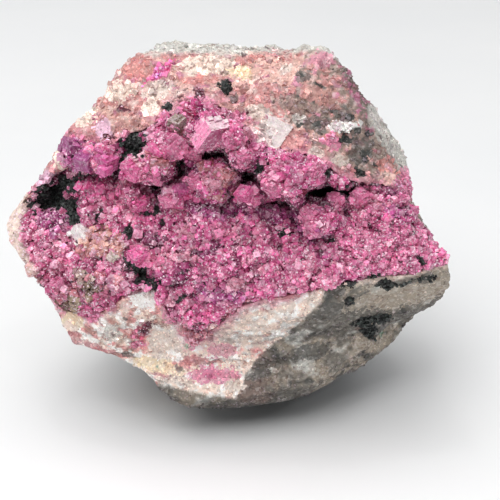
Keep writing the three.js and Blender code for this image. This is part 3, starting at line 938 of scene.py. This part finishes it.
class Nodes:
    """Shorthand for building a material's node tree."""

    def __init__(self, name):
        self.material = bpy.data.materials.new(name)
        self.material.use_nodes = True
        self.tree = self.material.node_tree
        self.tree.nodes.clear()
        self.place = self.add("ShaderNodeTexCoord").outputs["Object"]

    def add(self, kind, **settings):
        node = self.tree.nodes.new(kind)
        for name, value in settings.items():
            setattr(node, name, value)
        return node

    def feed(self, socket, value):
        if isinstance(value, bpy.types.NodeSocket):
            self.tree.links.new(value, socket)
        else:
            socket.default_value = value

    def noise(self, size, detail=3, rough=0.55):
        """Noise whose swells are size mm across."""
        node = self.add("ShaderNodeTexNoise")
        self.feed(node.inputs["Vector"], self.place)
        node.inputs["Scale"].default_value = 1 / (size * MM)
        node.inputs["Detail"].default_value = detail
        node.inputs["Roughness"].default_value = rough
        return node.outputs["Fac"]

    def voronoi(self, size, feature="F1"):
        node = self.add("ShaderNodeTexVoronoi", feature=feature)
        self.feed(node.inputs["Vector"], self.place)
        node.inputs["Scale"].default_value = 1 / (size * MM)
        return node

    def chance(self, cells):
        """Three random numbers from 0 to 1 for each cell."""
        node = self.add("ShaderNodeSeparateColor")
        self.feed(node.inputs[0], cells.outputs["Color"])
        return node.outputs

    def ramp(self, value, low, high, to_low=0.0, to_high=1.0):
        node = self.add("ShaderNodeMapRange", clamp=True)
        self.feed(node.inputs["Value"], value)
        node.inputs["From Min"].default_value = low
        node.inputs["From Max"].default_value = high
        node.inputs["To Min"].default_value = to_low
        node.inputs["To Max"].default_value = to_high
        return node.outputs["Result"]

    def math(self, operation, a, b):
        node = self.add("ShaderNodeMath", operation=operation)
        self.feed(node.inputs[0], a)
        self.feed(node.inputs[1], b)
        return node.outputs[0]

    def vector(self, operation, a, b):
        node = self.add("ShaderNodeVectorMath", operation=operation)
        self.feed(node.inputs[0], a)
        self.feed(node.inputs[3 if operation == "SCALE" else 1], b)
        return node.outputs[0]

    def mix(self, factor, a, b, blend="MIX"):
        node = self.add("ShaderNodeMix", data_type="RGBA", blend_type=blend)
        self.feed(node.inputs["Factor"], factor)
        self.feed(node.inputs[6], a)
        self.feed(node.inputs[7], b)
        return node.outputs[2]

    def tint(self):
        return self.add("ShaderNodeAttribute", attribute_name="tint").outputs["Color"]

    def marked_tint(self, grain_chance):
        """The tint with its marks, whose rims break up grain by grain."""
        mark = self.add("ShaderNodeAttribute", attribute_name="mark")
        stray = self.ramp(self.noise(1.6, 3, 0.6), 0.25, 0.75, -0.28, 0.28)
        depth = self.math("ADD", mark.outputs["Alpha"], stray)
        depth = self.math("ADD", depth, self.ramp(grain_chance, 0, 1, -0.16, 0.16))
        return self.mix(self.ramp(depth, 0.46, 0.54), self.tint(), mark.outputs["Color"])

    def bump(self, height, depth, strength=1.0, normal=None):
        """A bump of depth mm."""
        node = self.add("ShaderNodeBump")
        self.feed(node.inputs["Height"], height)
        node.inputs["Distance"].default_value = depth * MM
        node.inputs["Strength"].default_value = strength
        if normal is not None:
            self.feed(node.inputs["Normal"], normal)
        return node.outputs["Normal"]

    def faceted(self, normal, colour, amount):
        """The normal leant by each cell's own chance colour, so that every cell is a small facet."""
        lean = self.vector("SUBTRACT", colour, (0.5, 0.5, 0.5))
        lean = self.vector("SCALE", lean, amount)
        return self.vector("NORMALIZE", self.vector("ADD", normal, lean), (0, 0, 0))

    def finish(self, **inputs):
        shader = self.add("ShaderNodeBsdfPrincipled")
        for name, value in inputs.items():
            self.feed(shader.inputs[name.replace("_", " ")], value)
        out = self.add("ShaderNodeOutputMaterial")
        self.tree.links.new(shader.outputs[0], out.inputs["Surface"])
        return self.material


def rock_material():
    """Sugary broken carbonate: every grain has a shade and a facet of its own, and a few crumbs a painted
    glint.
    """
    n = Nodes("rock")
    grain = n.voronoi(0.72)
    crumb = n.voronoi(0.36)
    first, second, _ = n.chance(grain)
    third, fourth, _ = n.chance(crumb)
    colour = n.marked_tint(first)
    darker = n.mix(1.0, colour, (0.58, 0.47, 0.44, 1), "MULTIPLY")
    gritty = n.ramp(n.noise(5, 3, 0.6), 0.42, 0.6, 0.2, 1)
    colour = n.mix(n.math("MULTIPLY", gritty, n.ramp(second, 0.0, 0.34, 0.9, 0.0)), colour, darker)
    shade = n.add("ShaderNodeRGBToBW")
    n.feed(shade.inputs[0], colour)
    paler = n.mix(n.ramp(shade.outputs[0], 0.1, 0.6, 0.22, 0.5), colour, (0.97, 0.9, 0.86, 1))
    colour = n.mix(n.ramp(first, 0.66, 1.0, 0.0, 0.8), colour, paler)
    colour = n.mix(n.math("MULTIPLY", gritty, n.ramp(third, 0.0, 0.25, 0.9, 0.0)), colour, darker)
    # Painted glints: a few small cells are made much lighter.
    painted_glint = n.mix(1.0, colour, (1.75, 1.7, 1.68, 1), "MULTIPLY")
    colour = n.mix(n.ramp(fourth, 0.84, 0.94, 0.0, 0.6), colour, painted_glint)
    fleck = n.math("MULTIPLY", gritty, n.ramp(n.noise(0.5, 2, 0.6), 0.31, 0.38, 0.8, 0.0))
    colour = n.mix(fleck, colour, (0.09, 0.065, 0.06, 1))
    rough = n.ramp(n.noise(1.4, 2), 0.35, 0.65, 0.4, 0.75)
    height = n.math("ADD", n.ramp(grain.outputs["Distance"], 0, 0.7, 1, 0), n.noise(0.35, 4, 0.65))
    normal = n.bump(height, 0.16, 0.8)
    normal = n.faceted(normal, grain.outputs["Color"], 0.5)
    return n.finish(
        Base_Color=colour,
        Roughness=rough,
        Normal=normal,
        Specular_IOR_Level=0.45,
        Subsurface_Weight=0.1,
        Subsurface_Radius=(1.0, 0.7, 0.6),
        Subsurface_Scale=0.0006,
    )


def crystal_material(name, clear, rough_low, rough_high, glow, facet=0.4, chips=0.8, with_marks=False):
    """Calcite: glassy faces with faint growth steps over a cloudy, slightly clear body, with painted glints.
    """
    n = Nodes(name)
    step = n.voronoi(0.42)
    first, second, _ = n.chance(step)
    chip = n.voronoi(0.32)
    third, fourth, _ = n.chance(chip)
    cloud = n.noise(1.1, 4, 0.6)
    body = n.marked_tint(first) if with_marks else n.tint()
    colour = n.mix(1.0, body, n.ramp(cloud, 0.3, 0.7, 0.72, 1.25), "MULTIPLY")
    colour = n.mix(n.ramp(first, 0.6, 1.0, 0.0, 0.3), colour, (0.95, 0.78, 0.9, 1))
    deep = n.mix(1.0, body, (0.5, 0.24, 0.3, 1), "MULTIPLY")
    colour = n.mix(n.ramp(second, 0.0, 0.3, 0.45, 0.0), colour, deep)
    colour = n.mix(n.ramp(third, 0.0, 0.26, 0.5 * chips, 0.0), colour, deep)
    # Painted glints: a few small cells turn near white.
    colour = n.mix(n.ramp(fourth, 0.89, 0.94, 0.0, chips), colour, (1, 0.8, 0.9, 1))
    rough = n.ramp(n.noise(0.9, 3), 0.35, 0.65, rough_low, rough_high)
    normal = n.bump(n.noise(0.4, 4, 0.6), 0.05, 0.6)
    normal = n.faceted(normal, step.outputs["Color"], facet)
    return n.finish(
        Base_Color=colour,
        Roughness=rough,
        Normal=normal,
        IOR=1.49,
        Transmission_Weight=clear,
        Subsurface_Weight=glow,
        Subsurface_Radius=(1.0, 0.5, 0.75),
        Subsurface_Scale=0.0007,
    )


def dark_material():
    """Velvety black microcrystals with a green-grey bloom."""
    n = Nodes("dark")
    bloom = n.ramp(n.noise(0.7, 3), 0.45, 0.7, 0, 0.8)
    colour = n.mix(bloom, n.tint(), (0.1, 0.125, 0.11, 1))
    rough = n.ramp(n.noise(0.5, 2), 0.3, 0.7, 0.25, 0.75)
    return n.finish(Base_Color=colour, Roughness=rough, Normal=n.bump(n.noise(0.3, 3), 0.05, 0.6))


def floor_material():
    """A pale matt floor, a little uneven in shade."""
    n = Nodes("floor")
    shade = n.ramp(n.noise(90, 4, 0.5), 0.3, 0.7, 0, 1)
    colour = n.mix(shade, (0.87, 0.875, 0.88, 1), (0.9, 0.9, 0.9, 1))
    return n.finish(Base_Color=colour, Roughness=0.5, Normal=n.bump(n.noise(3, 3), 0.05, 0.2))


ROCK = rock_material()
DRUSE = crystal_material("druse", 0.0, 0.05, 0.22, 0.2)
GRAINS = crystal_material("grains", 0.0, 0.4, 0.75, 0.1, facet=0.25, chips=0.06)
CRUST = crystal_material("crust", 0.0, 0.25, 0.6, 0.1, with_marks=True)
LARGE = crystal_material("large", 0.1, 0.1, 0.35, 0.2, facet=0.16, chips=0.4)
MAIN = crystal_material("main", 0.05, 0.12, 0.35, 0.2, facet=0.1, chips=0.25)
DARK = dark_material()


# Rock

crust_points, crust_faces = node_arrays("crystal_crust")
plain_crust = surface(crust_points, crust_faces)


def rock_limit(middle):
    """The longest edge that the rock's mesh keeps: fine in front, coarser behind and under the crust."""
    reach = smoothstep(*FAR_DEPTHS, middle[:, 1])
    open_limit = FRONT_EDGE + (FAR_EDGE - FRONT_EDGE) * reach
    return np.where(middle[:, 3] > 0.99, HIDDEN_EDGE, open_limit)


def rock_roughness(points, away):
    """How far the broken surface stands out: roughest near the top, smooth at the foot and the crust."""
    high = smoothstep(*ROUGH_HEIGHTS, points[:, 2])
    coarse = field(points, 5, 30, 4) * (0.35 + 0.35 * high)
    middling = field(points, 1.7, 31, 3) * (0.24 + 0.2 * high)
    chips = 0.3 * (0.5 - cells(points, 1.5, 1))
    return (coarse + middling + chips) * smoothstep(0.2, 3, points[:, 2]) * smoothstep(0, 1.5, away - 0.3)


def thickness_at(points, faces, places):
    """How much rock the camera's line of sight goes through behind each of the places."""
    solid = surface(points, faces)
    reach = 2.0 * SUNK_ROCK
    thickness = np.full(len(points), reach)
    for place in places:
        hit = solid.ray_cast(Vector(points[place, :3] - 0.2 * BACK), Vector(-BACK), reach)
        if hit[0] is not None:
            thickness[place] = hit[3]
    return thickness


rock_points, rock_faces = node_arrays("host_rock")
rock_points = np.column_stack([rock_points, crust_distance(rock_points) < 1.5 * GAP])
rock_points, rock_faces = refined(rock_points, rock_faces, rock_limit)
rock_points = smoothed(rock_points, rock_faces)

# The rock is sunk under the crust, by more the farther a point is from the crust's rim.
away = crust_distance(rock_points)
rim = tree_of(rock_points, np.flatnonzero(away > GAP))
buried = distances(rim, rock_points) * (away <= GAP)
normals = vertex_normals(rock_points, rock_faces)
rough = rock_roughness(rock_points, away)
pocket_places = np.flatnonzero(buried > RIM_STAYS)
thickness = thickness_at(rock_points, rock_faces, pocket_places)
pocket = tree_of(rock_points, pocket_places)
rock_sunk = np.minimum(SUNK_ROCK, SUNK_SHARE * thickness) * smoothstep(RIM_STAYS, 4.5, buried)
rock_points[:, :3] += normals * rough[:, None] - to_eye(rock_points) * rock_sunk[:, None]
rock_points[:, 2] = np.maximum(rock_points[:, 2], 0)

# The lower front leans out over the floor, which the photograph's camera can't see but for the shadow.
lip = (1 - smoothstep(*LIP_HEIGHTS, rock_points[:, 2])) * smoothstep(*LIP_DEPTHS, rock_points[:, 1])
rock_points[:, :3] += to_eye(rock_points) * (LIP * lip)[:, None]
normals = vertex_normals(rock_points, rock_faces)
rock_colours, *rock_marks = rock_tint(rock_points, normals)
rock = make_piece("rock", rock_points, rock_faces, rock_colours, ROCK, STONE, smooth=True, marks=rock_marks)
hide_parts("host_rock")
rock_tree = surface(rock_points, rock_faces)

# Crust


def domes(points, size, seed):
    """Rounded heaps packed side by side: 1 at their tops, 0 in the gaps."""
    return np.sqrt(np.clip(1 - (cells(points, size, seed) / 0.75) ** 2, 0, 1))


def lump_heights(points):
    """How far the listed swells and hollows push the druse towards the viewer, in mm."""
    px, py, _ = to_pixels(points)
    stray = 0.16 * field(points, 2.5, 36)
    height = np.zeros(len(points))
    for *place, tall in DRUSE_LUMPS:
        height += tall * np.sqrt(np.clip(1 - (in_ellipse(px, py, *place) + stray) ** 2, 0, 1))
    return height


crust_points, crust_faces = refined(crust_points, crust_faces, lambda middle: CRUST_EDGE)
crust_points = smoothed(crust_points, crust_faces)
normals = vertex_normals(crust_points, crust_faces)
lumps = lump_heights(crust_points)
outer = smoothstep(0.0, 0.3, -normals[:, 1] + 0.4 * normals[:, 2])
from_rim = distances(rim, crust_points)
inland = smoothstep(RIM_STAYS, 3.5, from_rim)
turned_away = 1 - smoothstep(0.1, 0.45, facing_eye(crust_points, normals))
swell = (1.3 * domes(crust_points, 3.6, 2) - 1.0) * (0.8 + 0.5 * field(crust_points, 7, 35))
swell = swell * outer * inland - 0.7 * outer * turned_away
crust_points += normals * swell[:, None]
room = thickness[nearest(pocket, crust_points)]
back_sunk = np.clip(SUNK_SHARE * room - BACK_CLEAR, 0, SUNK_BACK) * smoothstep(1.5, 5, from_rim)
forward = lumps * outer * (0.25 + 0.75 * inland) - back_sunk * (1 - outer)
crust_points += to_eye(crust_points) * forward[:, None]
crust_points[:, 0] -= RIM_REACH * bare_rim(crust_points)
crust_colours, over, depth = druse_tint(crust_points)
# Painted shade: the crust is darkened under the rhombs, less on its bare rim, and its marks more.
crust_colours *= (0.3 + 0.6 * bare_rim(crust_points))[:, None]
crust_marks = (over * 0.4, depth)
crust = make_piece("crust", crust_points, crust_faces, crust_colours, CRUST, CALCITE, marks=crust_marks)
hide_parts("crystal_crust")
crust_tree = surface(crust_points, crust_faces)

# The druse's many small rhombs


def openness(points, normals):
    """How much of what lies in front of and above a point is free of the crust and the rock."""
    starts = points[:, :3] + 0.5 * normals
    seen = np.zeros(len(points))
    total = np.zeros(len(points))
    for outlook in unit(OUTLOOKS):
        facing = np.clip(normals @ outlook, 0.15, 1)
        ray = Vector(outlook)
        free = [
            all(tree.ray_cast(Vector(start), ray, REACH)[0] is None for tree in (crust_tree, rock_tree))
            for start in starts.tolist()
        ]
        seen += facing * np.array(free)
        total += facing
    return seen / total


def grain_size(points):
    """Typical edge of the druse's rhombs: fine and even low on the right, coarser elsewhere."""
    px, py, _ = to_pixels(points)
    coarse = 0.6 + 0.16 * field(points, 7, 33) + 0.12 * smoothstep(*COARSE_COLUMNS, px)
    coarse *= 1 - 0.3 * fading(points)
    return coarse + (0.5 - coarse) * smoothstep(*FINE_COLUMNS, px) * smoothstep(*FINE_ROWS, py)


def open_side(middles, normals):
    """1 on all but the crust's back and its bare rim."""
    open_part = (1 - smoothstep(0.0, 0.35, normals[:, 1])) * smoothstep(0.05, 0.4, middles[:, 4])
    return open_part * (bare_rim(middles) < 0.5)


def shared_rotations(points, normals):
    """Rotations that neighbours nearly share, as in bundles of crystals, and each one's bundle."""
    picks = random.choice(len(points), len(points) // BUNDLE, replace=False)
    own = nearest(tree_of(points[picks], range(len(picks))), points)
    bundle_rotations = leaning(normals[picks], 0.5)
    twist = turned(*random.normal(scale=0.16, size=(3, len(points))))
    rotations = bundle_rotations[own] @ twist
    loose = random.random(len(points)) < 0.25
    rotations[loose] = leaning(normals[loose], 0.8)
    return rotations, own


# Beside x, y and z: how far the listed swells stand out, and 1 on the crust's outside.
crust_places = np.column_stack([crust_points, lumps, outer])
places, normals = scattered(crust_places, crust_faces, lambda m: 0.68 * grain_size(m), open_side)
spread = np.clip(random.normal(size=len(places)), -2, 2)
sizes = grain_size(places) * np.exp(0.36 * spread) * (1 + 0.12 * np.clip(places[:, 3], 0, 3))
rotations, bundles = shared_rotations(places, normals)
colour_picks = random.integers(len(BUNDLE_COLOURS), size=bundles.max() + 1)
bundle_tints = np.array([linear(BUNDLE_COLOURS[pick]) for pick in colour_picks])
tint, over, depth = druse_tint(places)
tint = blended(tint, bundle_tints[bundles], np.full(len(places), 0.4))
tints = specked(tint, over, depth)
dark = is_dark(tints)
light = ~dark
tints = np.where(rare(places, 0.88), tints * 0.35 + linear("druse_pale") * 0.65, tints)
# Painted shade and light: rhombs closed in by the crust and rock are darkened towards deep purple, those on
# the heaps' tops are lighter.
sky = openness(places, normals)
heaps = domes(places, 1.7, 3)
raised = 0.35 * domes(places, 3.6, 2) + 0.65 * heaps
painted_light_and_shade = (0.42 + 0.64 * sky) * (0.4 + 0.85 * raised) * np.exp(0.25 * random.normal(size=len(places)))
outside_painted_pit_shade = smoothstep(-0.1, 0.5, sky) * smoothstep(-0.3, 0.4, raised)
tints = blended(linear("druse_deep") * 0.5, tints, outside_painted_pit_shade) * painted_light_and_shade[:, None] ** [1.0, 1.3, 1.1]
facing = smoothstep(0.0, 0.5, facing_eye(places, normals))
lift = (0.9 * heaps - 0.3) * facing + sizes * random.uniform(-0.15, 0.3, len(places))
centres = places[:, :3] + normals * lift[:, None]
points, faces, colours = rhombs(centres[light], rotations[light], sizes[light], tints[light], 0.1)
share = math.ceil(len(faces) / len(RHOMB_FACES) / DRUSE_PIECES) * len(RHOMB_FACES)
for number in range(DRUSE_PIECES):
    used, part = np.unique(faces[number * share : (number + 1) * share], return_inverse=True)
    make_piece(f"druse_{number + 1}", points[used], part.reshape(-1, 4), colours[used], DRUSE, CALCITE)

# Tiny pale crystals between the others are painted glints.
pick = random.choice(np.flatnonzero(light & (raised > 0.4)), PAINTED_GLINT_COUNT, replace=False)
centres = centres[pick] + normals[pick] * (sizes[pick] * 0.5)[:, None]
rotations = leaning(normals[pick], 0.8)
sizes = random.uniform(0.18, 0.32, PAINTED_GLINT_COUNT)
tints = blended(tints[pick], linear("white") * [1, 0.82, 0.95], np.full(PAINTED_GLINT_COUNT, 0.7))
make_piece("painted_glints", *rhombs(centres, rotations, sizes, tints, 0.15), DRUSE, CALCITE)

# Black microcrystals stand in their patches, on crust and rock.
rock_over, rock_depth = rock_marks
black_rock = is_dark(rock_over) * (rock_depth > 0.6)
black_faces = rock_faces[black_rock[rock_faces].mean(axis=1) > 0.5]
rock_centres, rock_normals = scattered(rock_points[:, :3], black_faces, 0.55)
centres = np.repeat(np.vstack([places[dark, :3], rock_centres]), DARK_COPIES, axis=0)
centres += random.normal(scale=0.3, size=centres.shape)
normals = np.repeat(np.vstack([normals[dark], rock_normals]), DARK_COPIES, axis=0)
sizes = random.uniform(0.25, 0.6, len(centres))
tints = np.tile(linear("black"), (len(centres), 1)) * random.uniform(0.4, 2.6, (len(centres), 1))
make_piece("dark_crystals", *rhombs(centres, leaning(normals, 0.9), sizes, tints, 0.2), DARK, CALCITE)

# Small rhombs on the rock's pink patches

pink_rock = (rock_depth > 0.55) * (rock_over[:, 0] > 3 * rock_over[:, 1])
pink_faces = rock_faces[pink_rock[rock_faces].all(axis=1)]
places, normals = scattered(np.column_stack([rock_points[:, :3], rock_over]), pink_faces, 0.55)
sizes = random.uniform(0.3, 0.75, len(places))
shades = np.exp(0.2 + 0.35 * random.normal(size=(len(places), 1)))
tints = np.clip(places[:, 3:6] * shades, 0, 1)
centres = places[:, :3] + normals * 0.1
make_piece("rock_crystals", *rhombs(centres, leaning(normals, 0.6), sizes, tints, 0.1), DRUSE, CALCITE)

# Grains of the sugary fracture faces


def grain_keep(middles, normals):
    """The share of grains kept: none behind, few in bare patches and half on the grey face."""
    px, py, _ = to_pixels(middles)
    grey = smoothstep(*GREY_COLUMNS, px) * smoothstep(*GREY_ROWS, py)
    open_face = smoothstep(-0.1, 0.2, facing_eye(middles, normals)) * (1 - 0.5 * grey)
    return open_face * (0.35 + 0.65 * smoothstep(0.0, 0.4, field(middles, 5, 34) + 0.3))


open_faces = rock_faces[buried[rock_faces].mean(axis=1) < 0.3]
places, normals = scattered(rock_points[:, :3], open_faces, 0.72, grain_keep)
tints = specked(*rock_tint(places, normals))
light = ~is_dark(tints)
places, normals, tints = places[light], normals[light], tints[light]
sizes = random.uniform(0.25, 0.6, len(places))
in_band = to_pixels(places)[1] < BAND_END_ROWS[0]
sizes[in_band & (sizes > 0.5)] *= 1.8
variety = np.where(in_band, 0.34, 0.22)
tints = tints * np.exp(variety[:, None] * random.normal(size=(len(places), 1)))
tints = np.where(rare(places, 0.88), tints * 1.35, tints)
centres = places - normals * (sizes * random.uniform(0.22, 0.48, len(places)))[:, None]
make_piece("rock_grains", *rhombs(centres, leaning(normals, 1.2), sizes, tints, 0.15), GRAINS, STONE)

# Larger crystals


def seen_at(x, y):
    """The point and normal that the photograph's camera sees at a pixel."""
    ray = (x - PIXELS / 2) * RIGHT + (PIXELS / 2 - y) * UP - LENS / SENSOR * PIXELS * BACK
    hits = [tree.ray_cast(Vector(EYE), Vector(unit(ray))) for tree in (crust_tree, rock_tree)]
    point, normal, _, _ = min((h for h in hits if h[0] is not None), key=lambda h: h[3])
    return np.array(point), np.array(normal)


def on_skin(count):
    """Places on the faces of a rhomb of edge 1, in its own directions."""
    at = random.uniform(-0.5, 0.5, (count, 3))
    face = random.integers(3, size=count)
    at[np.arange(count), face] = 0.5 * np.sign(at[np.arange(count), face])
    return squashed(at)


def large_crystals(name, listed, material, sunk, smaller, flush=False):
    """Each listed rhomb with smaller ones grown parallel to it, stepped off its faces or crusting them."""
    steps, skin = smaller
    count = 1 + steps + skin
    groups = []
    for x, y, edge, colour, turns in listed:
        point, normal = seen_at(x, y)
        tilt, roll, spin = np.radians(turns)
        rotation = turned(tilt, 0.0, 0.0) @ turned(0.0, roll, 0.0) @ turned(0.0, 0.0, spin)
        if flush:
            rotation = np.array(Vector(normal).to_track_quat("Z", "Y").to_matrix()) @ rotation
        own = random.uniform(0.42, 0.72, steps) * edge
        step_at = random.uniform(-0.5, 0.5, (steps, 3)) * (1.12 * edge - 0.6 * own)[:, None]
        crumbs = random.uniform(0.1, 0.27, skin) * edge
        crumb_at = on_skin(skin) * edge - on_skin(skin) * 0.12 * edge
        offsets = np.vstack([np.zeros((1, 3)), step_at, crumb_at])
        rotations = rotation @ turned(*random.normal(scale=0.05, size=(3, count)))
        shades = np.exp(0.2 * random.normal(size=(count, 1)))
        shades[0] = 1
        tints = linear(colour) * shades
        pale = 0.5 * (linear("druse_pale") + linear(colour))
        tints[1 + steps :] = np.where(rare(crumb_at, 0.85), pale, tints[1 + steps :])
        sizes = np.concatenate([[edge], own, crumbs])
        groups.append((point - normal * sunk * edge + offsets @ rotation.T, rotations, sizes, tints))
    make_piece(name, *rhombs(*map(np.concatenate, zip(*groups)), 0.04), material, CALCITE)


def parallel_blocks(corner, edges, listed, count):
    """The listed blocks with edges like the first, and count crumbs on its three near faces."""
    crumbs = random.uniform(0, 0.95, (count, 3))
    crumbs[np.arange(count), random.integers(3, size=count)] = -0.03
    at = np.vstack([[block[1:4] for block in listed], crumbs])
    shares = np.concatenate([[block[4] for block in listed], random.uniform(0.04, 0.1, count)])
    shape = (RHOMB + 0.5)[None] * (1 + 0.05 * random.uniform(-1, 1, (len(at), 8, 3)))
    points = corner + (at[:, None] + shape * shares[:, None, None]) @ edges
    points = points[:, RHOMB_FACES].reshape(-1, 3)
    tints = np.array([linear(block[0]) for block in listed] + count * [linear("pink")])
    # Painted light and shade: each face is darkened or paled as the light falls on it.
    tints = tints[:, None] * PAINTED_FACE_SHADES[:, None]
    tints += (linear("white") - tints) * PAINTED_FACE_HIGHLIGHTS[:, None]
    tints = np.repeat(tints.reshape(-1, 3), 4, axis=0)
    return points, np.arange(len(points)).reshape(-1, 4), np.clip(tints, 0, 1)


large_crystals("large_crystals", LARGE_CRYSTALS, LARGE, 0.05, CRUSTED)
large_crystals("clear_crystals", CLEAR_CRYSTALS, MAIN, -0.05, CLEAR)
corner = seen_at(*MAIN_CORNER)[0] + MAIN_RISE * BACK
edges = MAIN_EDGES * PIXEL @ np.array([RIGHT, UP, -BACK])
make_piece("main_crystal", *parallel_blocks(corner, edges, MAIN_STEPS, MAIN_CRUMBS), MAIN, CALCITE)
large_crystals("white_crystals", WHITE_CRYSTALS, LARGE, -0.1, CRUMBS_ONLY)
large_crystals("white_rhomb", CLEAR_WHITE, LARGE, -0.1, FEW_CRUMBS)
large_crystals("flush_crystal", FLUSH_CRYSTAL, LARGE, 0.37, PLAIN, flush=True)

# Stage, in metres

bpy.ops.mesh.primitive_circle_add(vertices=128, radius=FLOOR_RADIUS, fill_type="NGON")
floor = bpy.context.object
floor.name = "floor"
floor.data.materials.append(floor_material())


def look_along(thing, place, ahead):
    """Puts a lamp or a camera at a place and turns it to look ahead."""
    thing.location = place
    thing.rotation_mode = "QUATERNION"
    thing.rotation_quaternion = ahead.to_track_quat("-Z", "Y")
    bpy.context.scene.collection.objects.link(thing)


def soft_light(name, place, size, power):
    """A square lamp aimed at the specimen."""
    lamp = bpy.data.lights.new(name, "AREA")
    lamp.shape = "SQUARE"
    lamp.size = size
    lamp.energy = power
    look_along(bpy.data.objects.new(name, lamp), place, Vector(LIGHTS_AIM) - Vector(place))


for name, place, size, power in LIGHTS:
    soft_light(name, place, size, power)

world = bpy.data.worlds.new("pale")
world.use_nodes = True
background = world.node_tree.nodes["Background"]
background.inputs["Color"].default_value = (0.94, 0.97, 1.0, 1)
where = world.node_tree.nodes.new("ShaderNodeTexCoord")
height = world.node_tree.nodes.new("ShaderNodeSeparateXYZ")
fade = world.node_tree.nodes.new("ShaderNodeMapRange")
for name, value in {"From Min": 0.1, "From Max": 0.24, "To Min": 0.7, "To Max": 0.12}.items():
    fade.inputs[name].default_value = value
world.node_tree.links.new(where.outputs["Generated"], height.inputs[0])
world.node_tree.links.new(height.outputs["Z"], fade.inputs["Value"])
world.node_tree.links.new(fade.outputs["Result"], background.inputs["Strength"])
scene = bpy.context.scene
scene.world = world

lens = bpy.data.cameras.new("camera")
lens.lens = LENS
lens.sensor_width = SENSOR
lens.clip_start = 0.01
camera = bpy.data.objects.new("camera", lens)
look_along(camera, EYE * MM, Vector(-BACK))
scene.camera = camera
scene.cycles.use_denoising = True
scene.view_settings.view_transform = "Standard"
scene.view_settings.look = "None"
